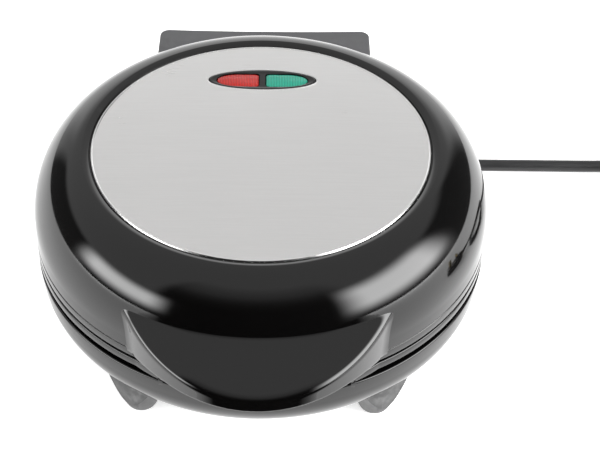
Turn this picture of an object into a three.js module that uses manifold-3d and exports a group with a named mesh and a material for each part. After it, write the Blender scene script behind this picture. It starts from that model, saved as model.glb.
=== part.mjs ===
// Electric ring-doughnut maker: round hinged appliance with two moulded heating plates.
// Units are millimetres, +Z is up, +Y points to the hinge and +X to the right-hand side.
// The origin is on the table, under the axis of the round body.
import * as THREE from 'three';
import { mergeVertices } from 'three/addons/utils/BufferGeometryUtils.js';
import Module from 'manifold-3d';

const wasm = await Module();
wasm.setup();

// Driving dimensions
const GAP = 0.3; // clearance between neighbouring pieces
const ROUND = 40; // sides of the large turned shells
const BODY_R = 110; // outer radius of the body at the parting line
const WALL = 2.5; // wall of the plastic shells

const FLOOR_Z = 12; // underside of the base
const BOWL_FLAT_R = 88; // flat part of the underside
const BOWL_WAIST_Z = 33; // where the bowl turns vertical
const BOWL_TOP_Z = 41;
const BOWL_TOP_R = 110.5;
const NECK_R = 107; // recessed neck above the bowl
const RIM_Z = 44.5; // underside of the rim ring
const RIM_TOP_Z = 48.5;
const RIM_R = 110.3;

const LID_Z = 50; // lower edge of the lid
const LID_BEAD_Z = 54.7; // fine step around the lid's wall
const LID_EDGE_R = 110.3;
const SHOULDER_Z = 61; // where the lid's wall turns into the dome
const LID_TOP_Z = 96.5;
const LID_TOP_R = 82; // inner edge of the dome, around the steel cover
const COVER_R = 80.8;
const COVER_Z = 95; // steel cover at its edge
const COVER_CROWN = 1.2; // how much higher its middle is
const COVER_T = 0.8;
const RECESS_Z = COVER_Z - COVER_T - GAP; // seat of the steel cover, at its edge

const PLATE_R = 99; // both heating plates
const RIM_INNER_R = PLATE_R + 0.5; // opening of both rim rings
const LOWER_FACE_Z = 49;
const UPPER_FACE_Z = 49.5;
const PLATE_T = 3.5;
const MOULD_PITCH = 62; // six moulds on this radius around a central one
const MOULD_R = 27.5; // ring cavity: outer radius
const MOULD_HOLE_R = 8; // ring cavity: central post
const MOULD_DEPTH = 10.5;
const BOSS_R = 29.5; // back of a mould
const BOSS_DEPTH = 13.5;
const POST_RING = 35.8; // screw posts between the moulds
const POST_R = 4;
const SCREW_R = 1.6;
const HEAD_R = 3.2;
const SCREW_SEAT_Z = 19.6; // top of the bosses on the base floor
const COUNTERBORE_Z = 15; // depth of their screw-head holes
const LID_BOSS_Z = 73.6; // lower end of the bosses in the lid
const LID_SCREW_Z = RECESS_Z - 0.5; // top of the screw heads under the steel cover
const SCREW_BOSS_R = 5.4;
const ELEMENT_R = 3.3; // tubular heating element
const SHIELD_R = 86;
const SHIELD_T = 0.8;

const HANDLE_A = 68.3; // plan ellipse of the upper handle, across
const HANDLE_B = 88.5; // and from its centre to the nose
const HANDLE_CENTRE_Y = -45;
const HANDLE_JOIN_R = 108; // its top is a cone that starts here on the lid
const HANDLE_JOIN_Z = 75.3;
const HANDLE_FALL = 0.4; // fall of the cone for each millimetre outwards
const HANDLE_BOTTOM_Z = 58.3; // lower edge of the skirt in front
const HANDLE_LEVEL_X = 36; // it is level up to here, then curves down to the tips
const HANDLE_CURVE = 0.01406; // of that curve, for the square of the distance
const HANDLE_WALL = 3;
const LIP_CENTRE_Y = -60; // plan ellipse of the lip under it
const LIP_A = 71.8;
const LIP_B = 55;
const LIP_NOTCH_X = 37.6; // notches in the lip, each with a rib at its outer side
const LIP_NOTCH_W = 8.2;
const LIP_RIB_W = 2;
const HANDLE_SCREW_X = 25; // two screws from inside the lid hold the handle
const HANDLE_SCREW_Z = 63.5;
const HANDLE_SCREW_HEAD_Y = -98.8;

const AXIS_Y = 124; // hinge axis, along X
const AXIS_Z = 51;
const PIN_R = 2;
const PIN_CLEARANCE = 0.15;
const KNUCKLE_R = 5.5;
const EAR_X = 40; // base ear, inner face
const EAR_T = 6;
const LUG_X = EAR_X + EAR_T + GAP; // lid lug, inner face
const LUG_T = 4.5;
const HINGE_COVER_X = 58.3;
const HINGE_COVER_BACK = 133.5;
const HINGE_COVER_Z = 70;
const HINGE_COVER_BOTTOM = 52;
const HINGE_COVER_T = 2.3;
const BRACKET_X = 47;
const BRACKET_FRONT = 88;
const BRACKET_BACK = 118;
const BRACKET_TOP = 46;

const BEZEL = { y: 51, a: 26.75, b: 8, top: 95.7, bottom: 88 };
const LENS = { inner: 1.55, length: 21.5, half: 5.4, top: 95.3, bottom: 90 };

const FOOT = { ring: 96, angle: 54.8, bottomR: 7, topR: 15.4, top: 21, outerR: 105.3 };
const PAD_T = 1.4;

const CORD_R = 3.35;
const GLAND = { y: 109, z: 22, length: 24, baseR: 6.5, tipR: 4.6 };
const COIL = { x: 245, y: 60.5, r: 37, low: 1.2, high: 14.8, half: 3.6 };
const CORD_ROUTE = [ // from the strain relief to the coil: right, then down onto the table
  [71.4, 109, 22], [75.2, 109, 22], [80.7, 108.7, 21.5], [86.3, 107.8, 20], [91.8, 106.1, 17.3],
  [97.4, 103.2, 12.7], [102.9, 100.4, 8.1], [108.5, 98.7, 5.4], [114, 97.8, 3.9],
  [119.6, 97.5, 3.4], [132, 97.5, 3.4], [148, 97.5, 3.4], [164, 97.5, 3.4], [180, 97.5, 3.4],
  [197, 97.5, 3.6], [213, 97.5, 4.4],
];
const CORD_TAIL = [ // from the coil to the plug
  [282, 35.9, 11.4], [282, 30, 11.5], [282, 23.9, 11.5],
];
const PLUG = { x: 282, near: -2, far: -52, half: 25, top: 22, cordZ: 11.5, reliefLength: 25 };
const PIN_PITCH = 22.2; // mains plug pins

// Materials
const finish = (color, roughness, metalness = 0) =>
  new THREE.MeshStandardMaterial({ color, roughness, metalness });
const FINISH = {
  glossBlack: finish(0x0b0b0c, 0.12),
  steel: finish(0xc9c8c6, 0.35, 1),
  darkGrey: finish(0x3c3c3e, 0.6),
  footGrey: finish(0x2a2a2b, 0.45),
  rubber: finish(0x171717, 0.9),
  nonStick: finish(0x202124, 0.5, 0.3),
  aluminium: finish(0xb4b6b8, 0.4, 1),
  zincSteel: finish(0xa9aaa6, 0.35, 1),
  element: finish(0x5a5c5e, 0.5, 1),
  ceramicWhite: finish(0xe6e2d8, 0.6),
  redLens: finish(0xb01212, 0.15),
  greenLens: finish(0x0b7a5c, 0.15),
  lampGlass: finish(0xe8b48a, 0.1),
  cord: finish(0x111112, 0.5),
  wire: finish(0xd8d4cc, 0.6),
  brass: finish(0xc2a25a, 0.3, 1),
};

// Solid modelling helpers
function solid(geometry) {
  const bare = geometry.clone();
  bare.deleteAttribute('normal');
  bare.deleteAttribute('uv');
  const merged = mergeVertices(bare, 1e-4);
  const index = merged.index.array;
  const kept = [];
  for (let i = 0; i < index.length; i += 3) {
    const [a, b, c] = [index[i], index[i + 1], index[i + 2]];
    if (a !== b && b !== c && c !== a) kept.push(a, b, c);
  }
  return new wasm.Manifold(new wasm.Mesh({
    numProp: 3,
    vertProperties: new Float32Array(merged.attributes.position.array),
    triVerts: new Uint32Array(kept),
  }));
}

function geometryOf(body) {
  const mesh = body.getMesh();
  const geometry = new THREE.BufferGeometry();
  geometry.setAttribute('position', new THREE.BufferAttribute(mesh.vertProperties, 3));
  geometry.setIndex(new THREE.BufferAttribute(mesh.triVerts, 1));
  geometry.computeVertexNormals();
  return geometry;
}

const join = (...bodies) => bodies.reduce((all, body) => all.add(body));
const cut = (body, ...tools) => tools.reduce((rest, tool) => rest.subtract(tool), body);
const at = (geometry, x, y, z) => geometry.translate(x, y, z);

// Points on an ellipse in the profile plane, angles in degrees
function arc(cx, cy, a, b, from, to, steps) {
  const points = [];
  for (let i = 0; i <= steps; i++) {
    const t = THREE.MathUtils.degToRad(from + ((to - from) * i) / steps);
    points.push([cx + a * Math.cos(t), cy + b * Math.sin(t)]);
  }
  return points;
}

// A closed [radius, height] outline, anticlockwise, turned about the Z axis
function turned(outline, sides = 24) {
  const points = [...outline, outline[0]].map(([r, z]) => new THREE.Vector2(r, z));
  return new THREE.LatheGeometry(points, sides).rotateX(Math.PI / 2);
}

// A solid of revolution whose outline starts and ends on the axis
function turnedSolid(outline, sides = 24) {
  const points = outline.map(([r, z]) => new THREE.Vector2(r, z));
  return new THREE.LatheGeometry(points, sides).rotateX(Math.PI / 2);
}

function disc(radius, low, high, sides = 24) {
  return turnedSolid([[0, low], [radius, low], [radius, high], [0, high]], sides);
}

function box(x0, x1, y0, y1, z0, z1) {
  return at(new THREE.BoxGeometry(x1 - x0, y1 - y0, z1 - z0), (x0 + x1) / 2, (y0 + y1) / 2, (z0 + z1) / 2);
}

// A plan outline raised from low to high
function raised(points, low, high) {
  const shape = new THREE.Shape(points.map(([x, y]) => new THREE.Vector2(x, y)));
  return at(new THREE.ExtrudeGeometry(shape, { depth: high - low, bevelEnabled: false }), 0, 0, low);
}

// A side outline in Y and Z, given thickness along X
function sidePlate(points, x0, x1) {
  const shape = new THREE.Shape(points.map(([y, z]) => new THREE.Vector2(y, z)));
  const plate = new THREE.ExtrudeGeometry(shape, { depth: x1 - x0, bevelEnabled: false });
  plate.rotateY(Math.PI / 2);
  plate.rotateX(Math.PI / 2);
  return at(plate, x0, 0, 0);
}

// A rod along X
function rodX(radius, x0, x1, y, z, sides = 16) {
  const rod = new THREE.CylinderGeometry(radius, radius, x1 - x0, sides).rotateZ(Math.PI / 2);
  return at(rod, (x0 + x1) / 2, y, z);
}

// A round bar that follows points
function bar(points, radius, steps, sides = 10) {
  const circle = [];
  for (let i = 0; i < sides; i++) {
    const t = (i / sides) * 2 * Math.PI;
    circle.push(new THREE.Vector2(radius * Math.cos(t), radius * Math.sin(t)));
  }
  const path = new THREE.CatmullRomCurve3(points.map((p) => new THREE.Vector3(...p)), false, 'centripetal');
  const options = { steps, extrudePath: path, bevelEnabled: false };
  return new THREE.ExtrudeGeometry(new THREE.Shape(circle), options);
}

const object = new THREE.Group();
const lid = new THREE.Group();
object.add(lid);

function add(name, shape, material, parent = object) {
  const geometry = shape.isBufferGeometry ? shape : geometryOf(shape);
  const mesh = new THREE.Mesh(geometry, material.clone());
  mesh.name = name;
  parent.add(mesh);
}

// Shared outlines
function bowlOutline(grow) {
  return [
    [0, FLOOR_Z - grow],
    ...arc(BOWL_FLAT_R, BOWL_WAIST_Z, BODY_R - BOWL_FLAT_R + grow, BOWL_WAIST_Z - FLOOR_Z + grow, -90, 0, 6),
    [BOWL_TOP_R + grow, BOWL_TOP_Z],
  ];
}

function lidOutline(grow) {
  return [
    [LID_EDGE_R + grow, LID_Z - grow],
    [LID_EDGE_R + grow, LID_BEAD_Z],
    ...arc(LID_TOP_R, SHOULDER_Z, BODY_R - LID_TOP_R + grow, LID_TOP_Z - SHOULDER_Z + grow, 0, 90, 7),
  ];
}

const lidBlock = (grow) =>
  solid(turnedSolid([[0, LID_Z - grow], ...lidOutline(grow), [0, LID_TOP_Z + grow]], ROUND));
const bowlBlock = (grow) =>
  solid(turnedSolid([...bowlOutline(grow), [0, BOWL_TOP_Z]], ROUND));

function postCentres() {
  return [90, 210, 330].map((angle) => {
    const t = THREE.MathUtils.degToRad(angle);
    return [POST_RING * Math.cos(t), POST_RING * Math.sin(t)];
  });
}

// Base
function baseShell() {
  const inner = WALL;
  const shell = solid(turned([
    ...bowlOutline(0),
    [NECK_R, BOWL_TOP_Z],
    [NECK_R, RIM_Z - GAP],
    [NECK_R - inner, RIM_Z - GAP],
    [NECK_R - inner, BOWL_TOP_Z - inner],
    [BODY_R - inner, BOWL_TOP_Z - inner],
    ...arc(BOWL_FLAT_R, BOWL_WAIST_Z, BODY_R - BOWL_FLAT_R - inner, BOWL_WAIST_Z - FLOOR_Z - inner, 0, -90, 4),
    [0, FLOOR_Z + inner],
  ], ROUND));
  const bosses = postCentres().map(([x, y]) => solid(at(disc(SCREW_BOSS_R, FLOOR_Z + 1, SCREW_SEAT_Z, 16), x, y, 0)));
  const holes = postCentres().flatMap(([x, y]) => [
    solid(at(disc(SCREW_R + GAP, FLOOR_Z - 1, SCREW_SEAT_Z + 1, 12), x, y, 0)),
    solid(at(disc(HEAD_R + GAP, FLOOR_Z - 1, COUNTERBORE_Z, 12), x, y, 0)),
  ]);
  const vents = [];
  for (const side of [-1, 1]) {
    for (let i = -2; i <= 2; i++) {
      const x = side * 58;
      vents.push(solid(box(x - 10, x + 10, i * 7 - 1.5, i * 7 + 1.5, FLOOR_Z - 1, FLOOR_Z + 4)));
    }
  }
  const wireWindow = solid(box(26, 46, 88, 125, 15.5, 27));
  return cut(join(shell, ...bosses), ...holes, ...vents, wireWindow);
}

// Rim ring with the lip below the handle
function baseRimRing() {
  const ring = solid(turned([
    [RIM_INNER_R, RIM_Z], [RIM_R, RIM_Z], [RIM_R, RIM_TOP_Z], [RIM_INNER_R, RIM_TOP_Z],
  ], ROUND));
  const outline = arc(0, LIP_CENTRE_Y, LIP_A, LIP_B, 180, 360, 28);
  const hollow = solid(disc(RIM_INNER_R + 4, RIM_Z - 5, RIM_TOP_Z + 1, ROUND));
  const front = solid(box(-70, 70, -140, -88, RIM_Z - 5, RIM_TOP_Z + 1));
  const under = (low, high) => cut(solid(raised(outline, low, high)).intersect(front), hollow);
  const half = LIP_NOTCH_W / 2;
  const notches = [-1, 1].map((side) => {
    const x = side * LIP_NOTCH_X;
    return solid(box(x - half, x + half, -125, -90, RIM_Z - 1, RIM_TOP_Z + 1));
  });
  const ribs = [-1, 1].map((side) => {
    const x = side * (LIP_NOTCH_X + half + LIP_RIB_W / 2);
    const slice = solid(box(x - LIP_RIB_W / 2, x + LIP_RIB_W / 2, -125, -102.3, RIM_Z - 5, RIM_Z + 1));
    return under(BOWL_TOP_Z + GAP, RIM_Z + 1).intersect(slice);
  });
  return join(ring, cut(under(RIM_Z, RIM_TOP_Z), ...notches), ...ribs);
}

function foot(sx, sy) {
  const t = THREE.MathUtils.degToRad(FOOT.angle);
  const x = sx * FOOT.ring * Math.cos(t);
  const y = sy * FOOT.ring * Math.sin(t);
  const cone = solid(at(turnedSolid([
    [0, 0.6], [FOOT.bottomR - 1, 0.6], [FOOT.bottomR, 1.6], [FOOT.topR, FOOT.top], [0, FOOT.top],
  ], 16), x, y, 0));
  const pocket = solid(at(disc(FOOT.bottomR - 2 + GAP, 0, PAD_T + GAP, 12), x, y, 0));
  const limit = solid(disc(FOOT.outerR, 0, FOOT.top + 1, ROUND));
  return cut(cone.intersect(limit), bowlBlock(GAP), pocket);
}

function footPad(sx, sy) {
  const t = THREE.MathUtils.degToRad(FOOT.angle);
  return at(disc(FOOT.bottomR - 2, 0, PAD_T, 12), sx * FOOT.ring * Math.cos(t), sy * FOOT.ring * Math.sin(t), 0);
}

// Hollow housing behind the bowl, with the two ears that carry the hinge pins
function hingeBracket() {
  const block = solid(box(-BRACKET_X, BRACKET_X, BRACKET_FRONT, BRACKET_BACK, FLOOR_Z, BRACKET_TOP));
  const hollow = solid(box(-BRACKET_X + WALL, BRACKET_X - WALL, 80, BRACKET_BACK - WALL,
    FLOOR_Z + WALL, BRACKET_TOP - WALL));
  const loomHole = solid(box(-7, 7, 112.3, 115, BRACKET_TOP - WALL - 1, BRACKET_TOP + 1));
  const cordHole = solid(rodX(GLAND.tipR - 0.4, BRACKET_X - WALL - 1, BRACKET_X + 1, GLAND.y, GLAND.z, 12));
  const clearOfNeck = solid(disc(NECK_R + GAP, BOWL_TOP_Z - 1, BRACKET_TOP + 1, ROUND));
  const clearOfRim = solid(disc(RIM_R + GAP, RIM_Z - GAP, BRACKET_TOP + 1, ROUND));
  const ears = [-1, 1].map((side) => {
    const [x0, x1] = side > 0 ? [EAR_X, EAR_X + EAR_T] : [-EAR_X - EAR_T, -EAR_X];
    const knuckle = solid(rodX(KNUCKLE_R, x0, x1, AXIS_Y, AXIS_Z));
    const neck = solid(sidePlate([
      [AXIS_Y - 12, AXIS_Z - 14], [AXIS_Y - 6.2, AXIS_Z - 14], [AXIS_Y - 1.5, AXIS_Z - 5.2],
      [AXIS_Y, AXIS_Z], [AXIS_Y - 5, AXIS_Z + 1.5], [AXIS_Y - 12, AXIS_Z - 3.5],
    ], x0, x1));
    return join(knuckle, neck);
  });
  const bores = [-1, 1].map((side) =>
    solid(rodX(PIN_R + PIN_CLEARANCE, side * 43 - 5, side * 43 + 5, AXIS_Y, AXIS_Z)));
  const housing = cut(block, hollow, loomHole, cordHole);
  return cut(join(housing, ...ears), bowlBlock(GAP), clearOfNeck, clearOfRim, ...bores);
}

// Heating plates: a round casting with seven ring moulds, six around one
function mouldCentres() {
  const centres = [[0, 0]];
  for (let i = 0; i < 6; i++) {
    const t = (i * Math.PI) / 3;
    centres.push([MOULD_PITCH * Math.cos(t), MOULD_PITCH * Math.sin(t)]);
  }
  return centres;
}

// The lower plate has its cooking face at z = 0 and its moulds below
function plateCasting() {
  const flange = solid(disc(PLATE_R, -PLATE_T, 0, ROUND));
  const bosses = mouldCentres().map(([x, y]) => solid(at(disc(BOSS_R, -BOSS_DEPTH, -PLATE_T + 1, 14), x, y, 0)));
  const middle = (MOULD_R + MOULD_HOLE_R) / 2;
  const ring = [
    ...arc(middle, 0, (MOULD_R - MOULD_HOLE_R) / 2, MOULD_DEPTH, 180, 360, 4),
    [MOULD_R, 2],
    [MOULD_HOLE_R, 2],
  ];
  const cavities = mouldCentres().map(([x, y]) => solid(at(turned(ring, 16), x, y, 0)));
  return cut(join(flange, ...bosses), ...cavities);
}

// Posts behind the plate, with blind screw holes; length is from the face
function platePosts(length) {
  const posts = postCentres().map(([x, y]) => solid(at(disc(POST_R, -length, -PLATE_T + 0.5, 16), x, y, 0)));
  const holes = postCentres().map(([x, y]) =>
    solid(at(disc(SCREW_R + 0.2, -length - 1, -length + 9, 12), x, y, 0)));
  return cut(join(...posts), ...holes);
}

// The same piece upside down
const flipped = (body) => body.scale([1, 1, -1]);

function heatingElement(z) {
  const points = [];
  for (let i = 0; i <= 12; i++) {
    const t = THREE.MathUtils.degToRad(105 + (330 * i) / 12);
    points.push([MOULD_PITCH * Math.cos(t), MOULD_PITCH * Math.sin(t), z]);
  }
  return bar(points, ELEMENT_R, 24, 8);
}

function heatShield(z) {
  const dish = solid(turnedSolid([
    [0, z], [SHIELD_R - 4, z], [SHIELD_R, z + 3], [SHIELD_R, z + 3 + SHIELD_T],
    [SHIELD_R - 0.8, z + 3 + SHIELD_T], [SHIELD_R - 4.4, z + SHIELD_T], [0, z + SHIELD_T],
  ], 24));
  const holes = postCentres().map(([x, y]) => solid(at(disc(POST_R + 0.6, z - 1, z + 5, 12), x, y, 0)));
  return cut(dish, ...holes);
}

// Pan-head screw pointing up, with its head at the origin
function screw(length) {
  const slot = solid(box(-0.5, 0.5, -HEAD_R - 1, HEAD_R + 1, -1, 0.8));
  const body = solid(turnedSolid([
    [0, 0], [HEAD_R - 0.8, 0], [HEAD_R, 0.8], [HEAD_R, 2], [SCREW_R, 2], [SCREW_R, length - 1.5], [0, length],
  ], 10));
  return cut(body, slot);
}

function thermostat(z) {
  const can = solid(disc(8, z - 5.5, z, 20));
  const tabs = [-1, 1].map((side) => solid(box(side * 9 - 4, side * 9 + 4, -2.4, 2.4, z - 4.4, z - 3.4)));
  return join(can, ...tabs);
}

function terminalBlock() {
  const block = solid(box(18, 46, 64, 74, FLOOR_Z + WALL + GAP, 22));
  const wells = [22, 32, 42].map((x) => solid(at(disc(2, 18, 23, 10), x, 69, 0)));
  return cut(block, ...wells);
}

// Lid
// Height of the crowned surfaces above their edge
const crown = (r) => COVER_CROWN * (1 - (r / COVER_R) ** 2);

function crownedDisc(radius, low, high) {
  const radii = [0, 45, radius];
  return turnedSolid([
    ...radii.map((r) => [r, low + crown(r)]),
    ...[...radii].reverse().map((r) => [r, high + crown(r)]),
  ], ROUND);
}

function ovalHole(grow, low, high) {
  return solid(raised(arc(0, BEZEL.y, BEZEL.a + grow, BEZEL.b + grow, 0, 350, 35), low, high));
}

function lidShell() {
  const inner = WALL;
  const underTop = RECESS_Z - inner;
  const shell = solid(turned([
    ...lidOutline(0),
    [LID_TOP_R - 0.6, LID_TOP_Z - 0.4],
    [LID_TOP_R - 0.6, RECESS_Z],
    [60, RECESS_Z + crown(60)],
    [0, RECESS_Z + COVER_CROWN],
    [0, underTop],
    [LID_TOP_R - 4, underTop],
    ...arc(LID_TOP_R - 4, SHOULDER_Z, BODY_R - LID_TOP_R + 4 - inner, underTop - SHOULDER_Z, 90, 0, 5),
    [BODY_R - inner, LID_Z],
  ], ROUND));
  const bosses = postCentres().map(([x, y]) => solid(at(disc(SCREW_BOSS_R, LID_BOSS_Z, underTop + 1, 16), x, y, 0)));
  const holes = postCentres().flatMap(([x, y]) => [
    solid(at(disc(SCREW_R + GAP, LID_BOSS_Z - 1, LID_TOP_Z, 12), x, y, 0)),
    solid(at(disc(HEAD_R + GAP, LID_SCREW_Z - 2 - GAP, LID_TOP_Z, 12), x, y, 0)),
  ]);
  const loomWindow = solid(box(-8, 8, 100, 120, 55.5, 63));
  const handleHoles = [-1, 1].map((side) =>
    solid(at(disc(SCREW_R + GAP, -8, 8, 12).rotateX(Math.PI / 2), side * HANDLE_SCREW_X, -106, HANDLE_SCREW_Z)));
  return cut(join(shell, ...bosses), ...holes, ovalHole(GAP, 86, 99), loomWindow, ...handleHoles);
}

function steelCover() {
  return cut(solid(crownedDisc(COVER_R, COVER_Z - COVER_T, COVER_Z)), ovalHole(GAP, 90, 99));
}

function lidRimRing() {
  const outer = BODY_R - WALL - GAP;
  return turned([[RIM_INNER_R, LID_Z + GAP], [outer, LID_Z + GAP], [outer, 54], [RIM_INNER_R, 54]], ROUND);
}

// Lens outline: straight inner end, half-ellipse outer end; side is -1 or 1
function lensOutline(side, grow) {
  const straight = LENS.length - 11;
  const half = LENS.half + grow;
  const points = [
    [LENS.inner - grow, -half + 1.5],
    [LENS.inner - grow + 1.5, -half],
    ...arc(LENS.inner + straight, 0, 11 + grow, half, -90, 90, 10),
    [LENS.inner - grow + 1.5, half],
    [LENS.inner - grow, half - 1.5],
  ];
  return side > 0 ? points : points.map(([x, y]) => [-x, y]).reverse();
}

function indicatorBezel() {
  const body = ovalHole(0, BEZEL.bottom, BEZEL.top);
  const windows = [-1, 1].map((side) =>
    solid(at(raised(lensOutline(side, GAP), BEZEL.bottom - 1, BEZEL.top + 1), 0, BEZEL.y, 0)));
  return cut(body, ...windows);
}

const indicatorLens = (side) => at(raised(lensOutline(side, 0), LENS.bottom, LENS.top), 0, BEZEL.y, 0);

function lampHolder() {
  const tray = solid(box(-27, 27, BEZEL.y - 9, BEZEL.y + 9, 80, 87.6));
  const troughs = [-1, 1].map((side) => solid(box(side * 12 - 8, side * 12 + 8, BEZEL.y - 3, BEZEL.y + 3, 82, 89)));
  return cut(tray, ...troughs);
}

const lamp = (side) => rodX(2.4, side * 12 - 6, side * 12 + 6, BEZEL.y, 84.8, 12);

// Crescent visor with a conical top and a skirt whose lower edge curves down to the tips
function upperHandle() {
  const ellipse = (inset) => arc(0, HANDLE_CENTRE_Y, HANDLE_A - inset, HANDLE_B - inset, 180, 360, 40);
  const topZ = (r) => HANDLE_JOIN_Z - HANDLE_FALL * (r - HANDLE_JOIN_R);
  const above = (drop) => solid(turned([
    [60, topZ(60) - drop], [150, topZ(150) - drop], [150, 130], [60, 130],
  ], ROUND));
  const edge = [];
  for (let x = -72; x <= 72; x += 6) {
    const beyond = Math.max(Math.abs(x) - HANDLE_LEVEL_X, 0);
    edge.push([x, HANDLE_BOTTOM_Z - HANDLE_CURVE * beyond ** 2]);
  }
  const below = solid(raised([...edge, [72, 20], [-72, 20]], 40, 150).rotateX(Math.PI / 2));
  const whole = cut(solid(raised(ellipse(0), 45, 90)), above(0), below);
  const inside = cut(solid(raised(ellipse(HANDLE_WALL), 40, 90)), above(HANDLE_WALL));
  const wallBehind = lidBlock(GAP + HANDLE_WALL);
  const screwBosses = [-1, 1].map((side) => solid(
    at(disc(4, -8, 7, 12).rotateX(Math.PI / 2), side * HANDLE_SCREW_X, -110, HANDLE_SCREW_Z)));
  const pilots = [-1, 1].map((side) => solid(
    at(disc(SCREW_R + 0.2, -8, 7.5, 12).rotateX(Math.PI / 2), side * HANDLE_SCREW_X, -106, HANDLE_SCREW_Z)));
  const pocketed = cut(whole, cut(inside, wallBehind));
  const bossed = join(pocketed, ...screwBosses.map((boss) => boss.intersect(whole)));
  const underLid = solid(disc(LID_EDGE_R + GAP, 30, LID_Z + 1, ROUND));
  return cut(bossed, lidBlock(GAP), underLid, ...pilots);
}

// Matte housing over the hinge, with the two lugs that turn on the pins
function hingeCover() {
  const outline = (inset) => {
    const half = HINGE_COVER_X - inset;
    const back = HINGE_COVER_BACK - inset;
    const radius = 5 - inset;
    return [
      [-half, 80], [half, 80],
      ...arc(half - radius, back - radius, radius, radius, 0, 90, 4),
      [0, back - 1],
      ...arc(-half + radius, back - radius, radius, radius, 90, 180, 4),
    ];
  };
  const outer = solid(raised(outline(0), HINGE_COVER_BOTTOM, HINGE_COVER_Z));
  const inner = solid(raised(outline(HINGE_COVER_T), HINGE_COVER_BOTTOM - 1, HINGE_COVER_Z - HINGE_COVER_T));
  const lugs = [-1, 1].map((side) => {
    const [x0, x1] = side > 0 ? [LUG_X, LUG_X + LUG_T] : [-LUG_X - LUG_T, -LUG_X];
    const stem = solid(box(x0, x1, AXIS_Y - KNUCKLE_R, AXIS_Y + KNUCKLE_R, AXIS_Z, HINGE_COVER_Z - 1));
    return join(solid(rodX(KNUCKLE_R, x0, x1, AXIS_Y, AXIS_Z)), stem);
  });
  const bores = [-1, 1].map((side) =>
    solid(rodX(PIN_R + PIN_CLEARANCE, side * 48 - 5, side * 48 + 5, AXIS_Y, AXIS_Z)));
  return cut(join(cut(outer, inner), ...lugs), lidBlock(GAP), ...bores);
}

function hingePin(side) {
  const inner = EAR_X - 1.4;
  const outer = LUG_X + LUG_T + 1.4;
  return side > 0
    ? rodX(PIN_R, inner, outer, AXIS_Y, AXIS_Z)
    : rodX(PIN_R, -outer, -inner, AXIS_Y, AXIS_Z);
}

// Cord, coil and plug
function cordGland() {
  const ribs = [];
  for (let i = 0; i < 3; i++) {
    const x = 6.2 + i * 5.4;
    const r = GLAND.baseR + ((GLAND.tipR - GLAND.baseR) * x) / GLAND.length;
    ribs.push([r, x], [r - 0.9, x + 0.6], [r - 0.9, x + 2.2], [r, x + 2.8]);
  }
  const relief = turnedSolid([
    [0, GAP], [GLAND.baseR + 2, GAP], [GLAND.baseR + 2, 2.5], [GLAND.baseR, 3.2],
    ...ribs, [GLAND.tipR, GLAND.length], [0, GLAND.length],
  ], 12);
  relief.rotateY(Math.PI / 2);
  return at(relief, BRACKET_X, GLAND.y, GLAND.z);
}

function cordCoil() {
  return at(turned([
    [COIL.r - COIL.half, COIL.low], [COIL.r + COIL.half, COIL.low],
    [COIL.r + COIL.half, COIL.high], [COIL.r - COIL.half, COIL.high],
  ], 36), COIL.x, COIL.y, 0);
}

function cordTie() {
  const mid = COIL.x - COIL.r;
  const outer = solid(box(mid - 4.9, mid + 5.3, COIL.y - 6, COIL.y + 6, 0.1, COIL.high + 1.1));
  const inner = solid(box(mid - 4.1, mid + 4.5, COIL.y - 7, COIL.y + 7, 0.9, COIL.high + GAP));
  return cut(outer, inner);
}

function plugBody() {
  const near = PLUG.near;
  const outline = [
    [-PLUG.half + 9, near], [PLUG.half - 9, near], [PLUG.half, near - 12],
    [PLUG.half, PLUG.far + 9],
    ...arc(PLUG.half - 9, PLUG.far + 9, 9, 9, 0, -90, 4).slice(1),
    ...arc(-PLUG.half + 9, PLUG.far + 9, 9, 9, -90, -180, 4),
    [-PLUG.half, near - 12],
  ].reverse();
  const body = solid(at(raised(outline, 0, PLUG.top), PLUG.x, 0, 0));
  const fuseBay = solid(box(PLUG.x - 7, PLUG.x + 7, -39, -33.5, PLUG.top - 4, PLUG.top + 1));
  const seats = plugPins().map(([, x, y, w, d]) =>
    solid(box(x - w / 2 - GAP, x + w / 2 + GAP, y - d / 2 - GAP, y + d / 2 + GAP, PLUG.top - 6, PLUG.top + 1)));
  return cut(body, fuseBay, ...seats);
}

// name, centre x and y, width, depth, height
function plugPins() {
  const row = -21;
  return [
    ['plug_pin_live', PLUG.x - PIN_PITCH / 2, row, 6.35, 4, 17.7],
    ['plug_pin_neutral', PLUG.x + PIN_PITCH / 2, row, 6.35, 4, 17.7],
    ['plug_pin_earth', PLUG.x, row - PIN_PITCH, 4, 8, 22.7],
  ];
}

function plugRelief() {
  const cone = turnedSolid([
    [0, 0], [7.5, 0], [7.5, 3], [6.6, 4], [4.7, PLUG.reliefLength - GAP], [0, PLUG.reliefLength - GAP],
  ], 16).rotateX(-Math.PI / 2);
  return at(cone, PLUG.x, PLUG.near + GAP, PLUG.cordZ);
}

// Assembly: base
add('base_shell', baseShell(), FINISH.glossBlack);
add('base_rim_ring', baseRimRing(), FINISH.glossBlack);
for (const [end, sy] of [['front', -1], ['rear', 1]]) {
  for (const [hand, sx] of [['left', -1], ['right', 1]]) {
    add(`foot_${end}_${hand}`, foot(sx, sy), FINISH.footGrey);
    add(`foot_pad_${end}_${hand}`, footPad(sx, sy), FINISH.rubber);
  }
}
add('hinge_bracket', hingeBracket(), FINISH.glossBlack);
add('hinge_pin_left', hingePin(-1), FINISH.zincSteel);
add('hinge_pin_right', hingePin(1), FINISH.zincSteel);
const lowerPost = LOWER_FACE_Z - SCREW_SEAT_Z - 0.4;
add('lower_heating_plate', join(plateCasting(), platePosts(lowerPost)).translate([0, 0, LOWER_FACE_Z]),
  FINISH.nonStick);
const lowerBossZ = LOWER_FACE_Z - BOSS_DEPTH;
add('lower_heating_element', heatingElement(lowerBossZ - ELEMENT_R - GAP), FINISH.element);
add('lower_heat_shield', heatShield(23.6), FINISH.aluminium);
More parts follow.
